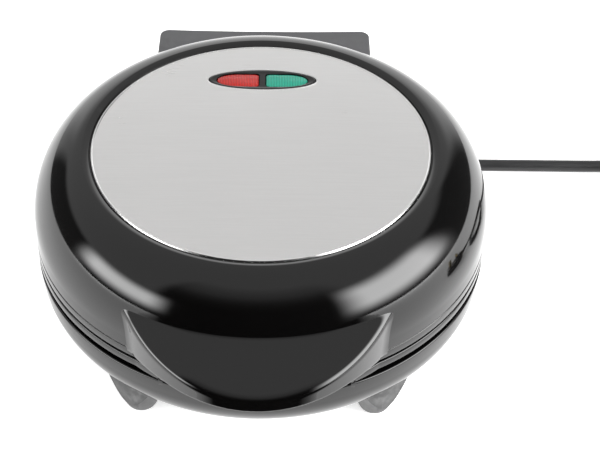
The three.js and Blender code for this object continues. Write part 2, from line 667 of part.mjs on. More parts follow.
add('thermostat', thermostat(lowerBossZ - GAP), FINISH.zincSteel);
add('terminal_block', terminalBlock(), FINISH.ceramicWhite);
postCentres().forEach(([x, y], i) => {
  add(`lower_plate_screw_${i + 1}`, geometryOf(screw(13).translate([x, y, FLOOR_Z + 0.7])), FINISH.zincSteel);
});
add('inner_cord_end', bar([
  [BRACKET_X - WALL - GAP, GLAND.y, GLAND.z], [40, 108, GLAND.z], [34.5, 101, 21], [32, 88, 19], [32, 74.4, 18.2],
], CORD_R - 0.6, 12, 8), FINISH.cord);

// Assembly: lid
add('lid_shell', lidShell(), FINISH.glossBlack, lid);
add('steel_cover', steelCover(), FINISH.steel, lid);
add('lid_rim_ring', lidRimRing(), FINISH.glossBlack, lid);
add('upper_handle', upperHandle(), FINISH.glossBlack, lid);
add('hinge_cover', hingeCover(), FINISH.darkGrey, lid);
add('indicator_bezel', indicatorBezel(), FINISH.glossBlack, lid);
add('indicator_lens_red', indicatorLens(-1), FINISH.redLens, lid);
add('indicator_lens_green', indicatorLens(1), FINISH.greenLens, lid);
add('lamp_holder', lampHolder(), FINISH.ceramicWhite, lid);
add('indicator_lamp_left', lamp(-1), FINISH.lampGlass, lid);
add('indicator_lamp_right', lamp(1), FINISH.lampGlass, lid);
const upperPost = LID_BOSS_Z - UPPER_FACE_Z - 0.4;
add('upper_heating_plate',
  flipped(join(plateCasting(), platePosts(upperPost))).translate([0, 0, UPPER_FACE_Z]), FINISH.nonStick, lid);
const upperBossZ = UPPER_FACE_Z + BOSS_DEPTH;
add('upper_heating_element', heatingElement(upperBossZ + ELEMENT_R + GAP), FINISH.element, lid);
add('upper_heat_shield', heatShield(70.6), FINISH.aluminium, lid);
add('thermal_fuse', rodX(2.2, -7, 7, 0, upperBossZ + 2.2 + GAP, 10), FINISH.aluminium, lid);
postCentres().forEach(([x, y], i) => {
  const turnedOver = flipped(screw(24.5)).translate([x, y, LID_SCREW_Z]);
  add(`upper_plate_screw_${i + 1}`, geometryOf(turnedOver), FINISH.zincSteel, lid);
});
[-1, 1].forEach((side) => {
  const fixing = geometryOf(screw(12)).rotateX(Math.PI / 2);
  const name = side < 0 ? 'handle_screw_left' : 'handle_screw_right';
  add(name, at(fixing, side * HANDLE_SCREW_X, HANDLE_SCREW_HEAD_Y, HANDLE_SCREW_Z), FINISH.zincSteel, lid);
});
add('lid_wiring', bar([
  [0, 117, 59.5], [0, 108, 60], [0, 100, 66], [0, 92, 76], [0, 76, 82.5], [0, 60.4, 84],
], 2, 12, 8), FINISH.wire, lid);

// Assembly: cord set
add('cord_gland', cordGland(), FINISH.rubber);
add('mains_cord', bar(CORD_ROUTE, CORD_R, 24, 10), FINISH.cord);
add('cord_coil', cordCoil(), FINISH.cord);
add('cord_tail', bar(CORD_TAIL, CORD_R, 3, 10), FINISH.cord);
add('cord_tie', cordTie(), FINISH.rubber);
add('plug_strain_relief', plugRelief(), FINISH.cord);
add('plug_body', plugBody(), FINISH.cord);
for (const [name, x, y, w, d, h] of plugPins()) {
  add(name, box(x - w / 2, x + w / 2, y - d / 2, y + d / 2, PLUG.top - 6 + GAP, PLUG.top + h), FINISH.brass);
}
add('plug_fuse_cover', box(PLUG.x - 6.7, PLUG.x + 6.7, -38.7, -33.8, PLUG.top - 4 + GAP, PLUG.top),
  FINISH.cord);

export default object;
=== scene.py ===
import math

import bmesh
import bpy
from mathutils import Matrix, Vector


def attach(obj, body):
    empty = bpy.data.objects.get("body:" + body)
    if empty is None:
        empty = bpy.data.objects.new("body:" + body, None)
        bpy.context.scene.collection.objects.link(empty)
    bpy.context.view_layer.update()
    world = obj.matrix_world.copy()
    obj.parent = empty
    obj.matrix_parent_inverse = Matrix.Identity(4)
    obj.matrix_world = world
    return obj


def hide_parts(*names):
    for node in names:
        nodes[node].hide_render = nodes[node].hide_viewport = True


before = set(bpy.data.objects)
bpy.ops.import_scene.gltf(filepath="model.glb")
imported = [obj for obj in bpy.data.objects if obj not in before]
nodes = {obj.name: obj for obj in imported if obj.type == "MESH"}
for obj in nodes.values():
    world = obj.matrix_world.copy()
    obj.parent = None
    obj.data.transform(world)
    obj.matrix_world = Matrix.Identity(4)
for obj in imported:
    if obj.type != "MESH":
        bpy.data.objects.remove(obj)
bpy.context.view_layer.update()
MM = 0.001
GAP = 0.3

# Sizes in millimetres, as in the CAD part
BODY_R = 110
WALL = 2.5
FLOOR_Z = 12
BOWL_FLAT_R, BOWL_WAIST_Z = 88, 33
BOWL_TOP_R, BOWL_TOP_Z = 110.5, 41
NECK_R = 107
RIM_Z, RIM_TOP_Z, RIM_R, RIM_INNER_R = 44.5, 48.5, 110.3, 99.5
LID_Z, LID_BEAD_Z, LID_EDGE_R = 50, 54.7, 110.3
SHOULDER_Z, LID_TOP_Z, LID_TOP_R = 61, 96.5, 82
COVER_R, COVER_Z, COVER_CROWN, COVER_T = 80.8, 95, 1.2, 0.8
RECESS_Z = COVER_Z - COVER_T - GAP
PLATE_R, LOWER_FACE_Z, UPPER_FACE_Z, PLATE_T = 99, 49, 49.5, 3.5
MOULD_PITCH, MOULD_R, MOULD_HOLE_R, MOULD_DEPTH = 62, 27.5, 8, 10.5
BOSS_R, BOSS_DEPTH = 29.5, 13.5
POST_RING, POST_R, SCREW_R, HEAD_R = 35.8, 4, 1.6, 3.2
HANDLE_A, HANDLE_B, HANDLE_Y = 68.3, 88.5, -45
HANDLE_JOIN_R, HANDLE_JOIN_Z, HANDLE_FALL = 108, 75.3, 0.4
HANDLE_BOTTOM_Z, HANDLE_LEVEL_X, HANDLE_CURVE, HANDLE_WALL = 58.3, 36, 0.01406, 3
HANDLE_SCREW_X, HANDLE_SCREW_Z = 25, 63.5
LIP_A, LIP_B, LIP_Y = 71.8, 55, -60
LIP_NOTCH_X, LIP_NOTCH_W, LIP_RIB_W = 37.6, 8.2, 2
AXIS_Y, AXIS_Z = 124, 51
EAR_X, EAR_T, LUG_X, LUG_T, KNUCKLE_R, PIN_R = 40, 6, 46.3, 4.5, 5.5, 2
HINGE_X, HINGE_BACK, HINGE_TOP, HINGE_BOTTOM, HINGE_T = 58.3, 133.5, 70, 52, 2.3
BRACKET_X, BRACKET_FRONT, BRACKET_BACK, BRACKET_TOP = 47, 88, 118, 46
BEZEL_Y, BEZEL_A, BEZEL_B, BEZEL_TOP, BEZEL_BOTTOM = 51, 26.75, 8, 95.7, 88
LENS_INNER, LENS_LENGTH, LENS_HALF, LENS_TOP, LENS_BOTTOM = 1.55, 21.5, 5.4, 95.3, 90
FOOT_RING, FOOT_ANGLE, FOOT_BOTTOM_R, FOOT_TOP_R, FOOT_TOP, FOOT_LIMIT_R = 96, 54.8, 7, 15.4, 21, 105.3
CORD_R = 3.35
GLAND_Y, GLAND_Z, GLAND_LENGTH, GLAND_BASE_R, GLAND_TIP_R = 109, 22, 24, 6.5, 4.6
CORD_ROUTE = [
    (71.4, 109, 22), (75.2, 109, 22), (80.7, 108.7, 21.5), (86.3, 107.8, 20), (91.8, 106.1, 17.3),
    (97.4, 103.2, 12.7), (102.9, 100.4, 8.1), (108.5, 98.7, 5.4), (114, 97.8, 3.9),
    (119.6, 97.5, 3.4), (132, 97.5, 3.4), (148, 97.5, 3.4), (164, 97.5, 3.4), (180, 97.5, 3.4),
    (197, 97.5, 3.6), (213, 97.5, 4.4),
]
COIL_X, COIL_Y, COIL_R = 245, 60.5, 37
CORD_TAIL = [(282, 35.9, 11.4), (282, 30, 11.5), (282, 23.9, 11.5)]
PLUG_X, PLUG_NEAR, PLUG_FAR, PLUG_HALF, PLUG_TOP, PLUG_CORD_Z, RELIEF = 282, -2, -52, 25, 22, 11.5, 25
PIN_PITCH, PIN_ROW = 22.2, -21


# ---------------------------------------------------------------- mesh helpers
def finish_mesh(ob, sharp=35):
    ob.data.shade_smooth()
    ob.data.set_sharp_from_angle(angle=math.radians(sharp))
    return ob


def new_mesh(name, verts, faces, sharp=35):
    mesh = bpy.data.meshes.new(name)
    mesh.from_pydata([(x * MM, y * MM, z * MM) for x, y, z in verts], [], faces)
    bm = bmesh.new()
    bm.from_mesh(mesh)
    bmesh.ops.remove_doubles(bm, verts=bm.verts, dist=1e-7)
    bmesh.ops.dissolve_degenerate(bm, edges=bm.edges, dist=1e-8)
    bmesh.ops.recalc_face_normals(bm, faces=bm.faces)
    bm.to_mesh(mesh)
    bm.free()
    ob = bpy.data.objects.new(name, mesh)
    bpy.context.scene.collection.objects.link(ob)
    return finish_mesh(ob, sharp)


def apply_all(ob, sharp=35):
    """Turns the object's modifiers into its mesh."""
    bpy.context.view_layer.update()
    graph = bpy.context.evaluated_depsgraph_get()
    mesh = bpy.data.meshes.new_from_object(ob.evaluated_get(graph))
    ob.modifiers.clear()
    old = ob.data
    ob.data = mesh
    mesh.name = ob.name
    bpy.data.meshes.remove(old)
    return finish_mesh(ob, sharp)


def boolean(ob, tools, kind="DIFFERENCE", sharp=35):
    """Cuts, joins or intersects ob with each tool, and removes the tools."""
    for tool in tools:
        modifier = ob.modifiers.new("bool", "BOOLEAN")
        modifier.operation = kind
        modifier.solver = "EXACT"
        modifier.object = tool
    apply_all(ob, sharp)
    for tool in tools:
        mesh = tool.data
        bpy.data.objects.remove(tool)
        bpy.data.meshes.remove(mesh)
    return ob


def bevel(ob, width, segments=3, angle=30, sharp=35):
    modifier = ob.modifiers.new("bevel", "BEVEL")
    modifier.width = width * MM
    modifier.segments = segments
    modifier.limit_method = "ANGLE"
    modifier.angle_limit = math.radians(angle)
    modifier.use_clamp_overlap = True
    return apply_all(ob, sharp)


def merged(name, obs, sharp=35):
    """One object made of several separate closed bodies."""
    verts, faces = [], []
    for ob in obs:
        base = len(verts)
        verts += [tuple(v.co / MM) for v in ob.data.vertices]
        faces += [tuple(base + i for i in p.vertices) for p in ob.data.polygons]
        mesh = ob.data
        bpy.data.objects.remove(ob)
        bpy.data.meshes.remove(mesh)
    mesh = bpy.data.meshes.new(name)
    mesh.from_pydata([(x * MM, y * MM, z * MM) for x, y, z in verts], [], faces)
    ob = bpy.data.objects.new(name, mesh)
    bpy.context.scene.collection.objects.link(ob)
    return finish_mesh(ob, sharp)


def arc(cx, cy, a, b, start, end, steps):
    points = []
    for i in range(steps + 1):
        t = math.radians(start + (end - start) * i / steps)
        points.append((cx + a * math.cos(t), cy + b * math.sin(t)))
    return points


def rounded(points, closed=True, steps=5):
    """A polyline whose corners (x, y, radius) are rounded by tangent arcs."""
    out = []
    count = len(points)
    for i, point in enumerate(points):
        x, y = point[0], point[1]
        radius = point[2] if len(point) > 2 else 0
        if radius <= 0 or (not closed and i in (0, count - 1)):
            out.append((x, y))
            continue
        p = Vector((x, y))
        a = Vector(points[i - 1][:2]) - p
        b = Vector(points[(i + 1) % count][:2]) - p
        la, lb = a.length, b.length
        a.normalize()
        b.normalize()
        angle = a.angle(b)
        if angle > math.radians(178):
            out.append((x, y))
            continue
        reach = min(radius / math.tan(angle / 2), 0.49 * la, 0.49 * lb)
        radius = reach * math.tan(angle / 2)
        centre = p + (a + b).normalized() * (radius / math.sin(angle / 2))
        start, end = p + a * reach - centre, p + b * reach - centre
        t0 = math.atan2(start.y, start.x)
        sweep = (math.atan2(end.y, end.x) - t0 + math.pi) % (2 * math.pi) - math.pi
        for k in range(steps + 1):
            t = t0 + sweep * k / steps
            out.append((centre.x + radius * math.cos(t), centre.y + radius * math.sin(t)))
    return out


def revolve(name, outline, sides=192, centre=(0, 0), axis="Z", sharp=35):
    """Turns an (r, h) outline about an axis. An outline that touches the axis is open, any other is closed."""
    on_axis = abs(outline[0][0]) < 1e-6 and abs(outline[-1][0]) < 1e-6
    verts, rings = [], []
    for r, h in outline:
        if abs(r) < 1e-6:
            rings.append([len(verts)] * sides)
            verts.append((0, 0, h))
            continue
        ring = []
        for k in range(sides):
            t = 2 * math.pi * k / sides
            ring.append(len(verts))
            verts.append((r * math.cos(t), r * math.sin(t), h))
        rings.append(ring)
    faces = []
    pairs = list(zip(rings, rings[1:])) if on_axis else list(zip(rings, rings[1:] + rings[:1]))
    for low, high in pairs:
        for k in range(sides):
            n = (k + 1) % sides
            face = []
            for v in (low[k], low[n], high[n], high[k]):
                if v not in face:
                    face.append(v)
            if len(face) > 2:
                faces.append(face)
    if axis == "X":
        verts = [(h, x + centre[0], y + centre[1]) for x, y, h in verts]
    elif axis == "Y":
        verts = [(x + centre[0], h, y + centre[1]) for x, y, h in verts]
    else:
        verts = [(x + centre[0], y + centre[1], h) for x, y, h in verts]
    return new_mesh(name, verts, faces, sharp)


def cylinder(radius, low, high, x, y, sides=24, axis="Z"):
    return revolve("tool", [(0, low), (radius, low), (radius, high), (0, high)], sides, (x, y), axis)


def prism(name, outline, low, high, axis="Z", sharp=35):
    """A closed plan outline given thickness along an axis. For X the outline is (y, z), for Y it is (x, z)."""
    clean = [p for i, p in enumerate(outline) if (Vector(p) - Vector(outline[i - 1])).length > 1e-5]
    n = len(clean)
    place = {
        "Z": lambda u, v, w: (u, v, w),
        "X": lambda u, v, w: (w, u, v),
        "Y": lambda u, v, w: (u, w, v),
    }[axis]
    verts = [place(u, v, low) for u, v in clean] + [place(u, v, high) for u, v in clean]
    faces = [list(range(n))[::-1], list(range(n, 2 * n))]
    faces += [[i, (i + 1) % n, n + (i + 1) % n, n + i] for i in range(n)]
    return new_mesh(name, verts, faces, sharp)


def block(x0, x1, y0, y1, z0, z1, name="tool"):
    return prism(name, [(x0, y0), (x1, y0), (x1, y1), (x0, y1)], z0, z1)


def sweep_profile(name, sections, closed_loop=False, sharp=35):
    """Skins closed sections that all have the same number of points, and caps both ends."""
    count = len(sections[0])
    verts = [p for section in sections for p in section]
    faces = []
    total = len(sections)
    for s in range(total if closed_loop else total - 1):
        a, b = s * count, ((s + 1) % total) * count
        for i in range(count):
            j = (i + 1) % count
            faces.append([a + i, a + j, b + j, b + i])
    if not closed_loop:
        faces.append(list(range(count)))
        faces.append(list(range((total - 1) * count, total * count)))
    return new_mesh(name, verts, faces, sharp)


def show(ob, body, slot, material, *replaced):
    ob.data.materials.clear()
    ob.data.materials.append(material)
    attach(ob, body)
    if replaced:
        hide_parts(*replaced)
    return ob


# ---------------------------------------------------------------- materials
class Graph:
    """A short way to write a material's nodes."""

    def __init__(self, name):
        self.material = bpy.data.materials.new(name)
        self.material.use_nodes = True
        self.tree = self.material.node_tree
        self.shader = self.tree.nodes["Principled BSDF"]
        self.coords = self.tree.nodes.new("ShaderNodeTexCoord").outputs["Object"]

    def node(self, kind, **values):
        made = self.tree.nodes.new(kind)
        for key, value in values.items():
            setattr(made, key, value)
        return made

    def link(self, a, b):
        self.tree.links.new(a, b)

    def scaled(self, x, y, z, turn=(0, 0, 0)):
        mapping = self.node("ShaderNodeMapping")
        mapping.inputs["Scale"].default_value = (x, y, z)
        mapping.inputs["Rotation"].default_value = turn
        self.link(self.coords, mapping.inputs["Vector"])
        return mapping.outputs["Vector"]

    def noise(self, scale, detail=3, rough=0.5, vector=None):
        made = self.node("ShaderNodeTexNoise")
        made.inputs["Scale"].default_value = scale
        made.inputs["Detail"].default_value = detail
        made.inputs["Roughness"].default_value = rough
        self.link(vector or self.coords, made.inputs["Vector"])
        return made.outputs["Fac"]

    def spread(self, value, low, high, from_low=0.3, from_high=0.7):
        made = self.node("ShaderNodeMapRange")
        for key, number in zip(("From Min", "From Max", "To Min", "To Max"), (from_low, from_high, low, high)):
            made.inputs[key].default_value = number
        self.link(value, made.inputs["Value"])
        return made.outputs["Result"]

    def mix(self, value, first, second):
        made = self.node("ShaderNodeMix", data_type="RGBA")
        self.link(value, made.inputs["Factor"])
        for key, colour in (("A", first), ("B", second)):
            socket = [s for s in made.inputs if s.name == key and s.type == "RGBA"][0]
            if isinstance(colour, (tuple, list)):
                socket.default_value = (*colour, 1)
            else:
                self.link(colour, socket)
        return [s for s in made.outputs if s.type == "RGBA"][0]

    def maths(self, operation, a, b=0.0):
        made = self.node("ShaderNodeMath", operation=operation)
        for socket, value in zip(made.inputs, (a, b)):
            if isinstance(value, (int, float)):
                socket.default_value = value
            else:
                self.link(value, socket)
        return made.outputs[0]

    def edges(self, low=0.52, high=0.62):
        """Rises on sharp convex edges, where a surface wears."""
        return self.spread(self.node("ShaderNodeNewGeometry").outputs["Pointiness"], 0, 1, low, high)

    def bump(self, height, distance, strength=1.0, normal=None):
        made = self.node("ShaderNodeBump")
        made.inputs["Distance"].default_value = distance
        made.inputs["Strength"].default_value = strength
        self.link(height, made.inputs["Height"])
        if normal is not None:
            self.link(normal, made.inputs["Normal"])
        self.link(made.outputs["Normal"], self.shader.inputs["Normal"])
        return made.outputs["Normal"]

    def set(self, **values):
        for key, value in values.items():
            self.shader.inputs[key.replace("_", " ")].default_value = value


def plastic(name, colour, worn, roughness, grain_size, grain_depth, spread=0.04, waviness=0.0, ior=1.5):
    """Moulded plastic: faint tone change, uneven roughness, fine texture and lighter worn edges."""
    g = Graph(name)
    cloudy = g.noise(14, 4)
    dark = tuple(c * 0.86 for c in colour)
    light = tuple(c * 1.14 for c in colour)
    tone = g.mix(g.spread(cloudy, 0, 1), dark, light)
    wear = g.maths("MULTIPLY", g.edges(), g.spread(g.noise(180, 3), 0, 1, 0.42, 0.62))
    g.link(g.mix(wear, tone, worn), g.shader.inputs["Base Color"])
    g.link(g.spread(g.noise(55, 5, 0.65), roughness - spread, roughness + spread), g.shader.inputs["Roughness"])
    normal = g.bump(g.noise(grain_size, 2), grain_depth)
    if waviness:
        g.bump(g.noise(28, 1), waviness, 1.0, normal)
    g.set(IOR=ior)
    return g.material


def metal(name, colour, roughness, scratch=(8, 600, 600), depth=0.00002, spread=0.06, tone=0.9):
    g = Graph(name)
    lines = g.noise(1, 3, 0.6, g.scaled(*scratch))
    g.link(g.mix(g.spread(lines, 0, 1), tuple(c * tone for c in colour), colour), g.shader.inputs["Base Color"])
    stains = g.noise(35, 4)
    rough = g.maths("ADD", g.spread(lines, -spread, spread), g.spread(stains, roughness - 0.02, roughness + 0.03))
    g.link(rough, g.shader.inputs["Roughness"])
    g.bump(lines, depth)
    g.set(Metallic=1.0)
    return g.material


def lens(name, colour, shaded_colour):
    """Tinted ribbed lens: fine ribs front to back. Its colour holds painted light: painted shade darkens it from the
    rounded top down onto the side walls, and the ribs carry painted highlights as lighter stripes.
    """
    g = Graph(name)
    separate = g.node("ShaderNodeSeparateXYZ")
    g.link(g.coords, separate.inputs[0])
    ribs = g.maths("SINE", g.maths("MULTIPLY", separate.outputs["X"], 2 * math.pi / 0.0008))
    cross = g.maths("SINE", g.maths("MULTIPLY", separate.outputs["Y"], 2 * math.pi / 0.0011))
    cells = g.maths("ADD", ribs, g.maths("MULTIPLY", cross, 0.35))
    # painted shade: the lens colour turns dark from its rounded top down onto the side walls
    depth = g.spread(separate.outputs["Z"], 0, 1, 0.0942, 0.0953)
    # painted highlights: the ribs are painted as lighter stripes
    rib_highlights = g.spread(cells, 0.25, 1.0, -1.1, 1.2)
    # mixes the painted shade colour with the lit colour, lightest on the top's rib highlights
    inner = g.mix(g.maths("MULTIPLY", depth, rib_highlights), shaded_colour, colour)
    g.link(inner, g.shader.inputs["Base Color"])
    g.link(g.spread(g.noise(300, 2), 0.07, 0.13), g.shader.inputs["Roughness"])
    g.bump(cells, 0.00006)
    g.set(IOR=1.42, Transmission_Weight=0.2, Specular_IOR_Level=0.35, Coat_Weight=0.12, Coat_Roughness=0.05)
    return g.material


GLOSS = plastic("gloss_black", (0.0013, 0.0012, 0.0012), (0.006, 0.006, 0.006), 0.07, 900, 0.000002, 0.02, 0.00001)
PLASTIC_IN = plastic("inner_black", (0.016, 0.016, 0.017), (0.04, 0.04, 0.04), 0.38, 1600, 0.00003, 0.08)
FOOT_GREY = plastic("foot_grey", (0.019, 0.019, 0.0195), (0.07, 0.07, 0.07), 0.42, 2200, 0.00003, 0.07)
MATTE = plastic("matte_grey", (0.06, 0.06, 0.063), (0.13, 0.13, 0.13), 0.56, 2600, 0.00005, 0.06)
RUBBER = plastic("rubber", (0.012, 0.012, 0.012), (0.03, 0.03, 0.03), 0.8, 1900, 0.00005, 0.08)
CORD = plastic("cord_black", (0.011, 0.011, 0.0115), (0.03, 0.03, 0.03), 0.42, 1500, 0.00003, 0.07)
PLUG = plastic("plug_black", (0.012, 0.012, 0.0125), (0.035, 0.035, 0.035), 0.34, 2000, 0.00003, 0.07)
STEEL = metal("brushed_steel", (0.72, 0.714, 0.708), 0.3, (40, 1100, 1100), 0.0000012, 0.012, 0.965)
STEEL_EDGE = metal("polished_steel", (0.8, 0.795, 0.79), 0.2, (200, 200, 200), 0.0000005, 0.02)
ZINC = metal("zinc_steel", (0.58, 0.585, 0.56), 0.34, (300, 300, 300), 0.00002)
SHIELD = metal("aluminium", (0.66, 0.665, 0.67), 0.4, (20, 500, 500), 0.00001)
ELEMENT = metal("element_steel", (0.16, 0.155, 0.16), 0.46, (200, 200, 200), 0.00002)
BRASS = metal("brass", (0.75, 0.58, 0.27), 0.24, (400, 400, 20), 0.000006, 0.04)


def coated():
    """Dark non-stick coating with fine flecks on cast aluminium."""
    g = Graph("non_stick")
    flecks = g.spread(g.noise(2600, 2), 0, 1, 0.62, 0.74)
    tone = g.mix(g.spread(g.noise(20, 4), 0, 1), (0.021, 0.0215, 0.024), (0.03, 0.031, 0.034))
    speckled = g.mix(flecks, tone, (0.075, 0.077, 0.082))
    g.link(g.mix(g.edges(0.53, 0.66), speckled, (0.06, 0.06, 0.065)), g.shader.inputs["Base Color"])
    g.link(g.spread(g.noise(60, 5, 0.6), 0.27, 0.4), g.shader.inputs["Roughness"])
    g.bump(g.noise(1300, 3), 0.00004)
    g.set(IOR=1.6, Coat_Weight=0.15, Coat_Roughness=0.3)
    return g.material


def ceramic():
    g = Graph("ceramic")
    tone = g.mix(g.spread(g.noise(60, 5), 0, 1), (0.7, 0.66, 0.58), (0.8, 0.77, 0.7))
    g.link(tone, g.shader.inputs["Base Color"])
    g.link(g.spread(g.noise(120, 4), 0.5, 0.7), g.shader.inputs["Roughness"])
    g.bump(g.noise(900, 3), 0.00006)
    return g.material


def woven():
    """Glass-fibre sleeve with a crossed braid."""
    g = Graph("wire_sleeve")
    waves = []
    for turn in (0.7, -0.7):
        wave = g.node("ShaderNodeTexWave")
        wave.inputs["Scale"].default_value = 900
        g.link(g.scaled(1, 1, 1, (turn, 0, 0)), wave.inputs["Vector"])
        waves.append(wave.outputs["Fac"])
    braid = g.maths("MULTIPLY", *waves)
    g.link(g.mix(braid, (0.5, 0.48, 0.43), (0.75, 0.73, 0.68)), g.shader.inputs["Base Color"])
    g.link(g.spread(g.noise(200, 3), 0.6, 0.85), g.shader.inputs["Roughness"])
    g.bump(braid, 0.00012)
    return g.material


def lamp_glass():
    g = Graph("lamp_glass")
    tone = g.mix(g.spread(g.noise(160, 3), 0, 1), (0.86, 0.62, 0.42), (0.95, 0.78, 0.62))
    g.link(tone, g.shader.inputs["Base Color"])
    g.link(g.spread(g.noise(240, 3), 0.03, 0.12), g.shader.inputs["Roughness"])
    g.set(IOR=1.5, Transmission_Weight=0.7)
    return g.material


NON_STICK, CERAMIC, SLEEVE, LAMP = coated(), ceramic(), woven(), lamp_glass()
# each lens's second colour is its painted shade colour, shown on the side walls and between the painted rib highlights
RED = lens("red_lens", (0.6, 0.02, 0.013), (0.16, 0.001, 0.001))
GREEN = lens("green_lens", (0.02, 0.42, 0.29), (0.001, 0.13, 0.08))

for names, finish in (
    (("thermostat", "lower_plate_screw_1", "lower_plate_screw_2", "lower_plate_screw_3", "upper_plate_screw_1",
      "upper_plate_screw_2", "upper_plate_screw_3", "handle_screw_left", "handle_screw_right"), ZINC),
    (("lower_heating_element", "upper_heating_element"), ELEMENT),
    (("lower_heat_shield", "upper_heat_shield", "thermal_fuse"), SHIELD),
    (("terminal_block", "lamp_holder"), CERAMIC),
    (("indicator_lamp_left", "indicator_lamp_right"), LAMP),
    (("inner_cord_end",), CORD),
    (("lid_wiring",), SLEEVE),
):
    for name in names:
        nodes[name].data.materials.clear()
        nodes[name].data.materials.append(finish)

# ---------------------------------------------------------------- camera
camera_data = bpy.data.cameras.new("camera")
camera = bpy.data.objects.new("camera", camera_data)
bpy.context.scene.collection.objects.link(camera)
camera.location = (0.00845, -0.4992, 0.4954)
camera.rotation_euler = (math.radians(47.85), 0, math.radians(0.97))
camera_data.lens = 80.81
camera_data.sensor_width = 36
camera_data.shift_x = 0.0655
bpy.context.scene.camera = camera


# ---------------------------------------------------------------- shared outlines
def dome_r(z):
    """Outer radius of the lid at height z."""
    if z <= LID_BEAD_Z:
        return LID_EDGE_R
    if z <= SHOULDER_Z:
        return LID_EDGE_R + (BODY_R - LID_EDGE_R) * (z - LID_BEAD_Z) / (SHOULDER_Z - LID_BEAD_Z)
    rise = min(1, (z - SHOULDER_Z) / (LID_TOP_Z - SHOULDER_Z))
    return LID_TOP_R + (BODY_R - LID_TOP_R) * math.sqrt(1 - rise * rise)


def post_centres():
    return [(POST_RING * math.cos(math.radians(a)), POST_RING * math.sin(math.radians(a))) for a in (90, 210, 330)]


def mould_centres():
    ring = [(MOULD_PITCH * math.cos(i * math.pi / 3), MOULD_PITCH * math.sin(i * math.pi / 3)) for i in range(6)]
    return [(0, 0)] + ring


def bowl_block(grow, sides=96):
    outline = [(0, FLOOR_Z - grow)]
    outline += arc(BOWL_FLAT_R, BOWL_WAIST_Z, BODY_R - BOWL_FLAT_R + grow, BOWL_WAIST_Z - FLOOR_Z + grow, -90, 0, 16)
    outline += [(BOWL_TOP_R + grow, BOWL_TOP_Z), (0, BOWL_TOP_Z)]
    return revolve("tool", outline, sides)


def lid_block(grow, sides=128):
    outline = [(0, LID_Z - grow), (LID_EDGE_R + grow, LID_Z - grow), (LID_EDGE_R + grow, LID_BEAD_Z)]
    outline += arc(LID_TOP_R, SHOULDER_Z, BODY_R - LID_TOP_R + grow, LID_TOP_Z - SHOULDER_Z + grow, 0, 90, 24)
    outline += [(0, LID_TOP_Z + grow)]
    return revolve("tool", outline, sides)


def oval(grow, low, high, steps=96):
    return prism("tool", arc(0, BEZEL_Y, BEZEL_A + grow, BEZEL_B + grow, 0, 360 - 360 / steps, steps - 1), low, high)


# ---------------------------------------------------------------- cord and plug
def cord_points():
    points = list(CORD_ROUTE) + [(224, 97.5, 4.6), (235, 97.5, 4.6)]
    turns, per_turn = 2.25, 16
    total = int(turns * per_turn)
    for i in range(total + 1):
        turned = i / per_turn
        climb = min(1, max(0, (turned - 0.86) / 0.2))
        z = 4.6 + 6.8 * climb * climb * (3 - 2 * climb)
        t = math.radians(90 - 360 * turned)
        points.append((COIL_X + COIL_R * math.cos(t), COIL_Y + COIL_R * math.sin(t), z))
    points += [(282, 48, 11.4)] + CORD_TAIL + [(282, 14, PLUG_CORD_Z), (282, 4, PLUG_CORD_Z)]
    return points


curve = bpy.data.curves.new("mains_lead", "CURVE")
curve.dimensions = "3D"
curve.bevel_depth = CORD_R * MM
curve.bevel_resolution = 6
curve.use_fill_caps = True
curve.resolution_u = 6
line = curve.splines.new("NURBS")
route = cord_points()
line.points.add(len(route) - 1)
for spot, (x, y, z) in zip(line.points, route):
    spot.co = (x * MM, y * MM, z * MM, 1)
line.order_u = 4
line.use_endpoint_u = True
lead = bpy.data.objects.new("mains_lead", curve)
bpy.context.scene.collection.objects.link(lead)
lead.data.materials.append(CORD)
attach(lead, "base")
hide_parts("mains_cord", "cord_coil", "cord_tail")


def ribbed_relief(name, start, length, base_r, tip_r, flange, ribs, axis, centre, forward=1):
    outline = [(0, 0)]
    if flange:
        outline += rounded([(0, 0), (base_r + 2, 0, 0.4), (base_r + 2, 2.5, 0.7), (base_r, 2.9, 0.3), (base_r, 3.4)],
                           False)[1:]
    else:
        outline += [(base_r - 0.6, 0), (base_r, 0.6), (base_r, 3)]
    pitch = (length - 8) / ribs
    for i in range(ribs):
        x = 4.4 + i * pitch
        r = base_r + (tip_r - base_r) * x / length
        outline += [(r, x - 0.4), (r + 0.02, x), (r - 0.2, x + 0.25), (r - 0.85, x + 0.45),
                    (r - 0.95, x + pitch * 0.42), (r - 0.25, x + pitch * 0.55), (r - 0.02, x + pitch * 0.66)]
    outline += [(tip_r + 0.05, length - 2), (tip_r, length - 0.5), (tip_r - 0.5, length), (0, length)]
    outline = [(r, start + forward * h) for r, h in outline]
    return revolve(name, outline, 48, centre, axis)


gland = ribbed_relief("cord_strain_relief", BRACKET_X + GAP, GLAND_LENGTH - GAP, GLAND_BASE_R, GLAND_TIP_R, True, 4,
                      "X", (GLAND_Y, GLAND_Z))
show(gland, "base", "rubber", RUBBER, "cord_gland")
relief = ribbed_relief("plug_cord_relief", PLUG_NEAR + GAP, RELIEF - GAP, 7.4, 4.7, False, 4, "Y", (PLUG_X, PLUG_CORD_Z))
show(relief, "base", "cord_black", PLUG, "plug_strain_relief")


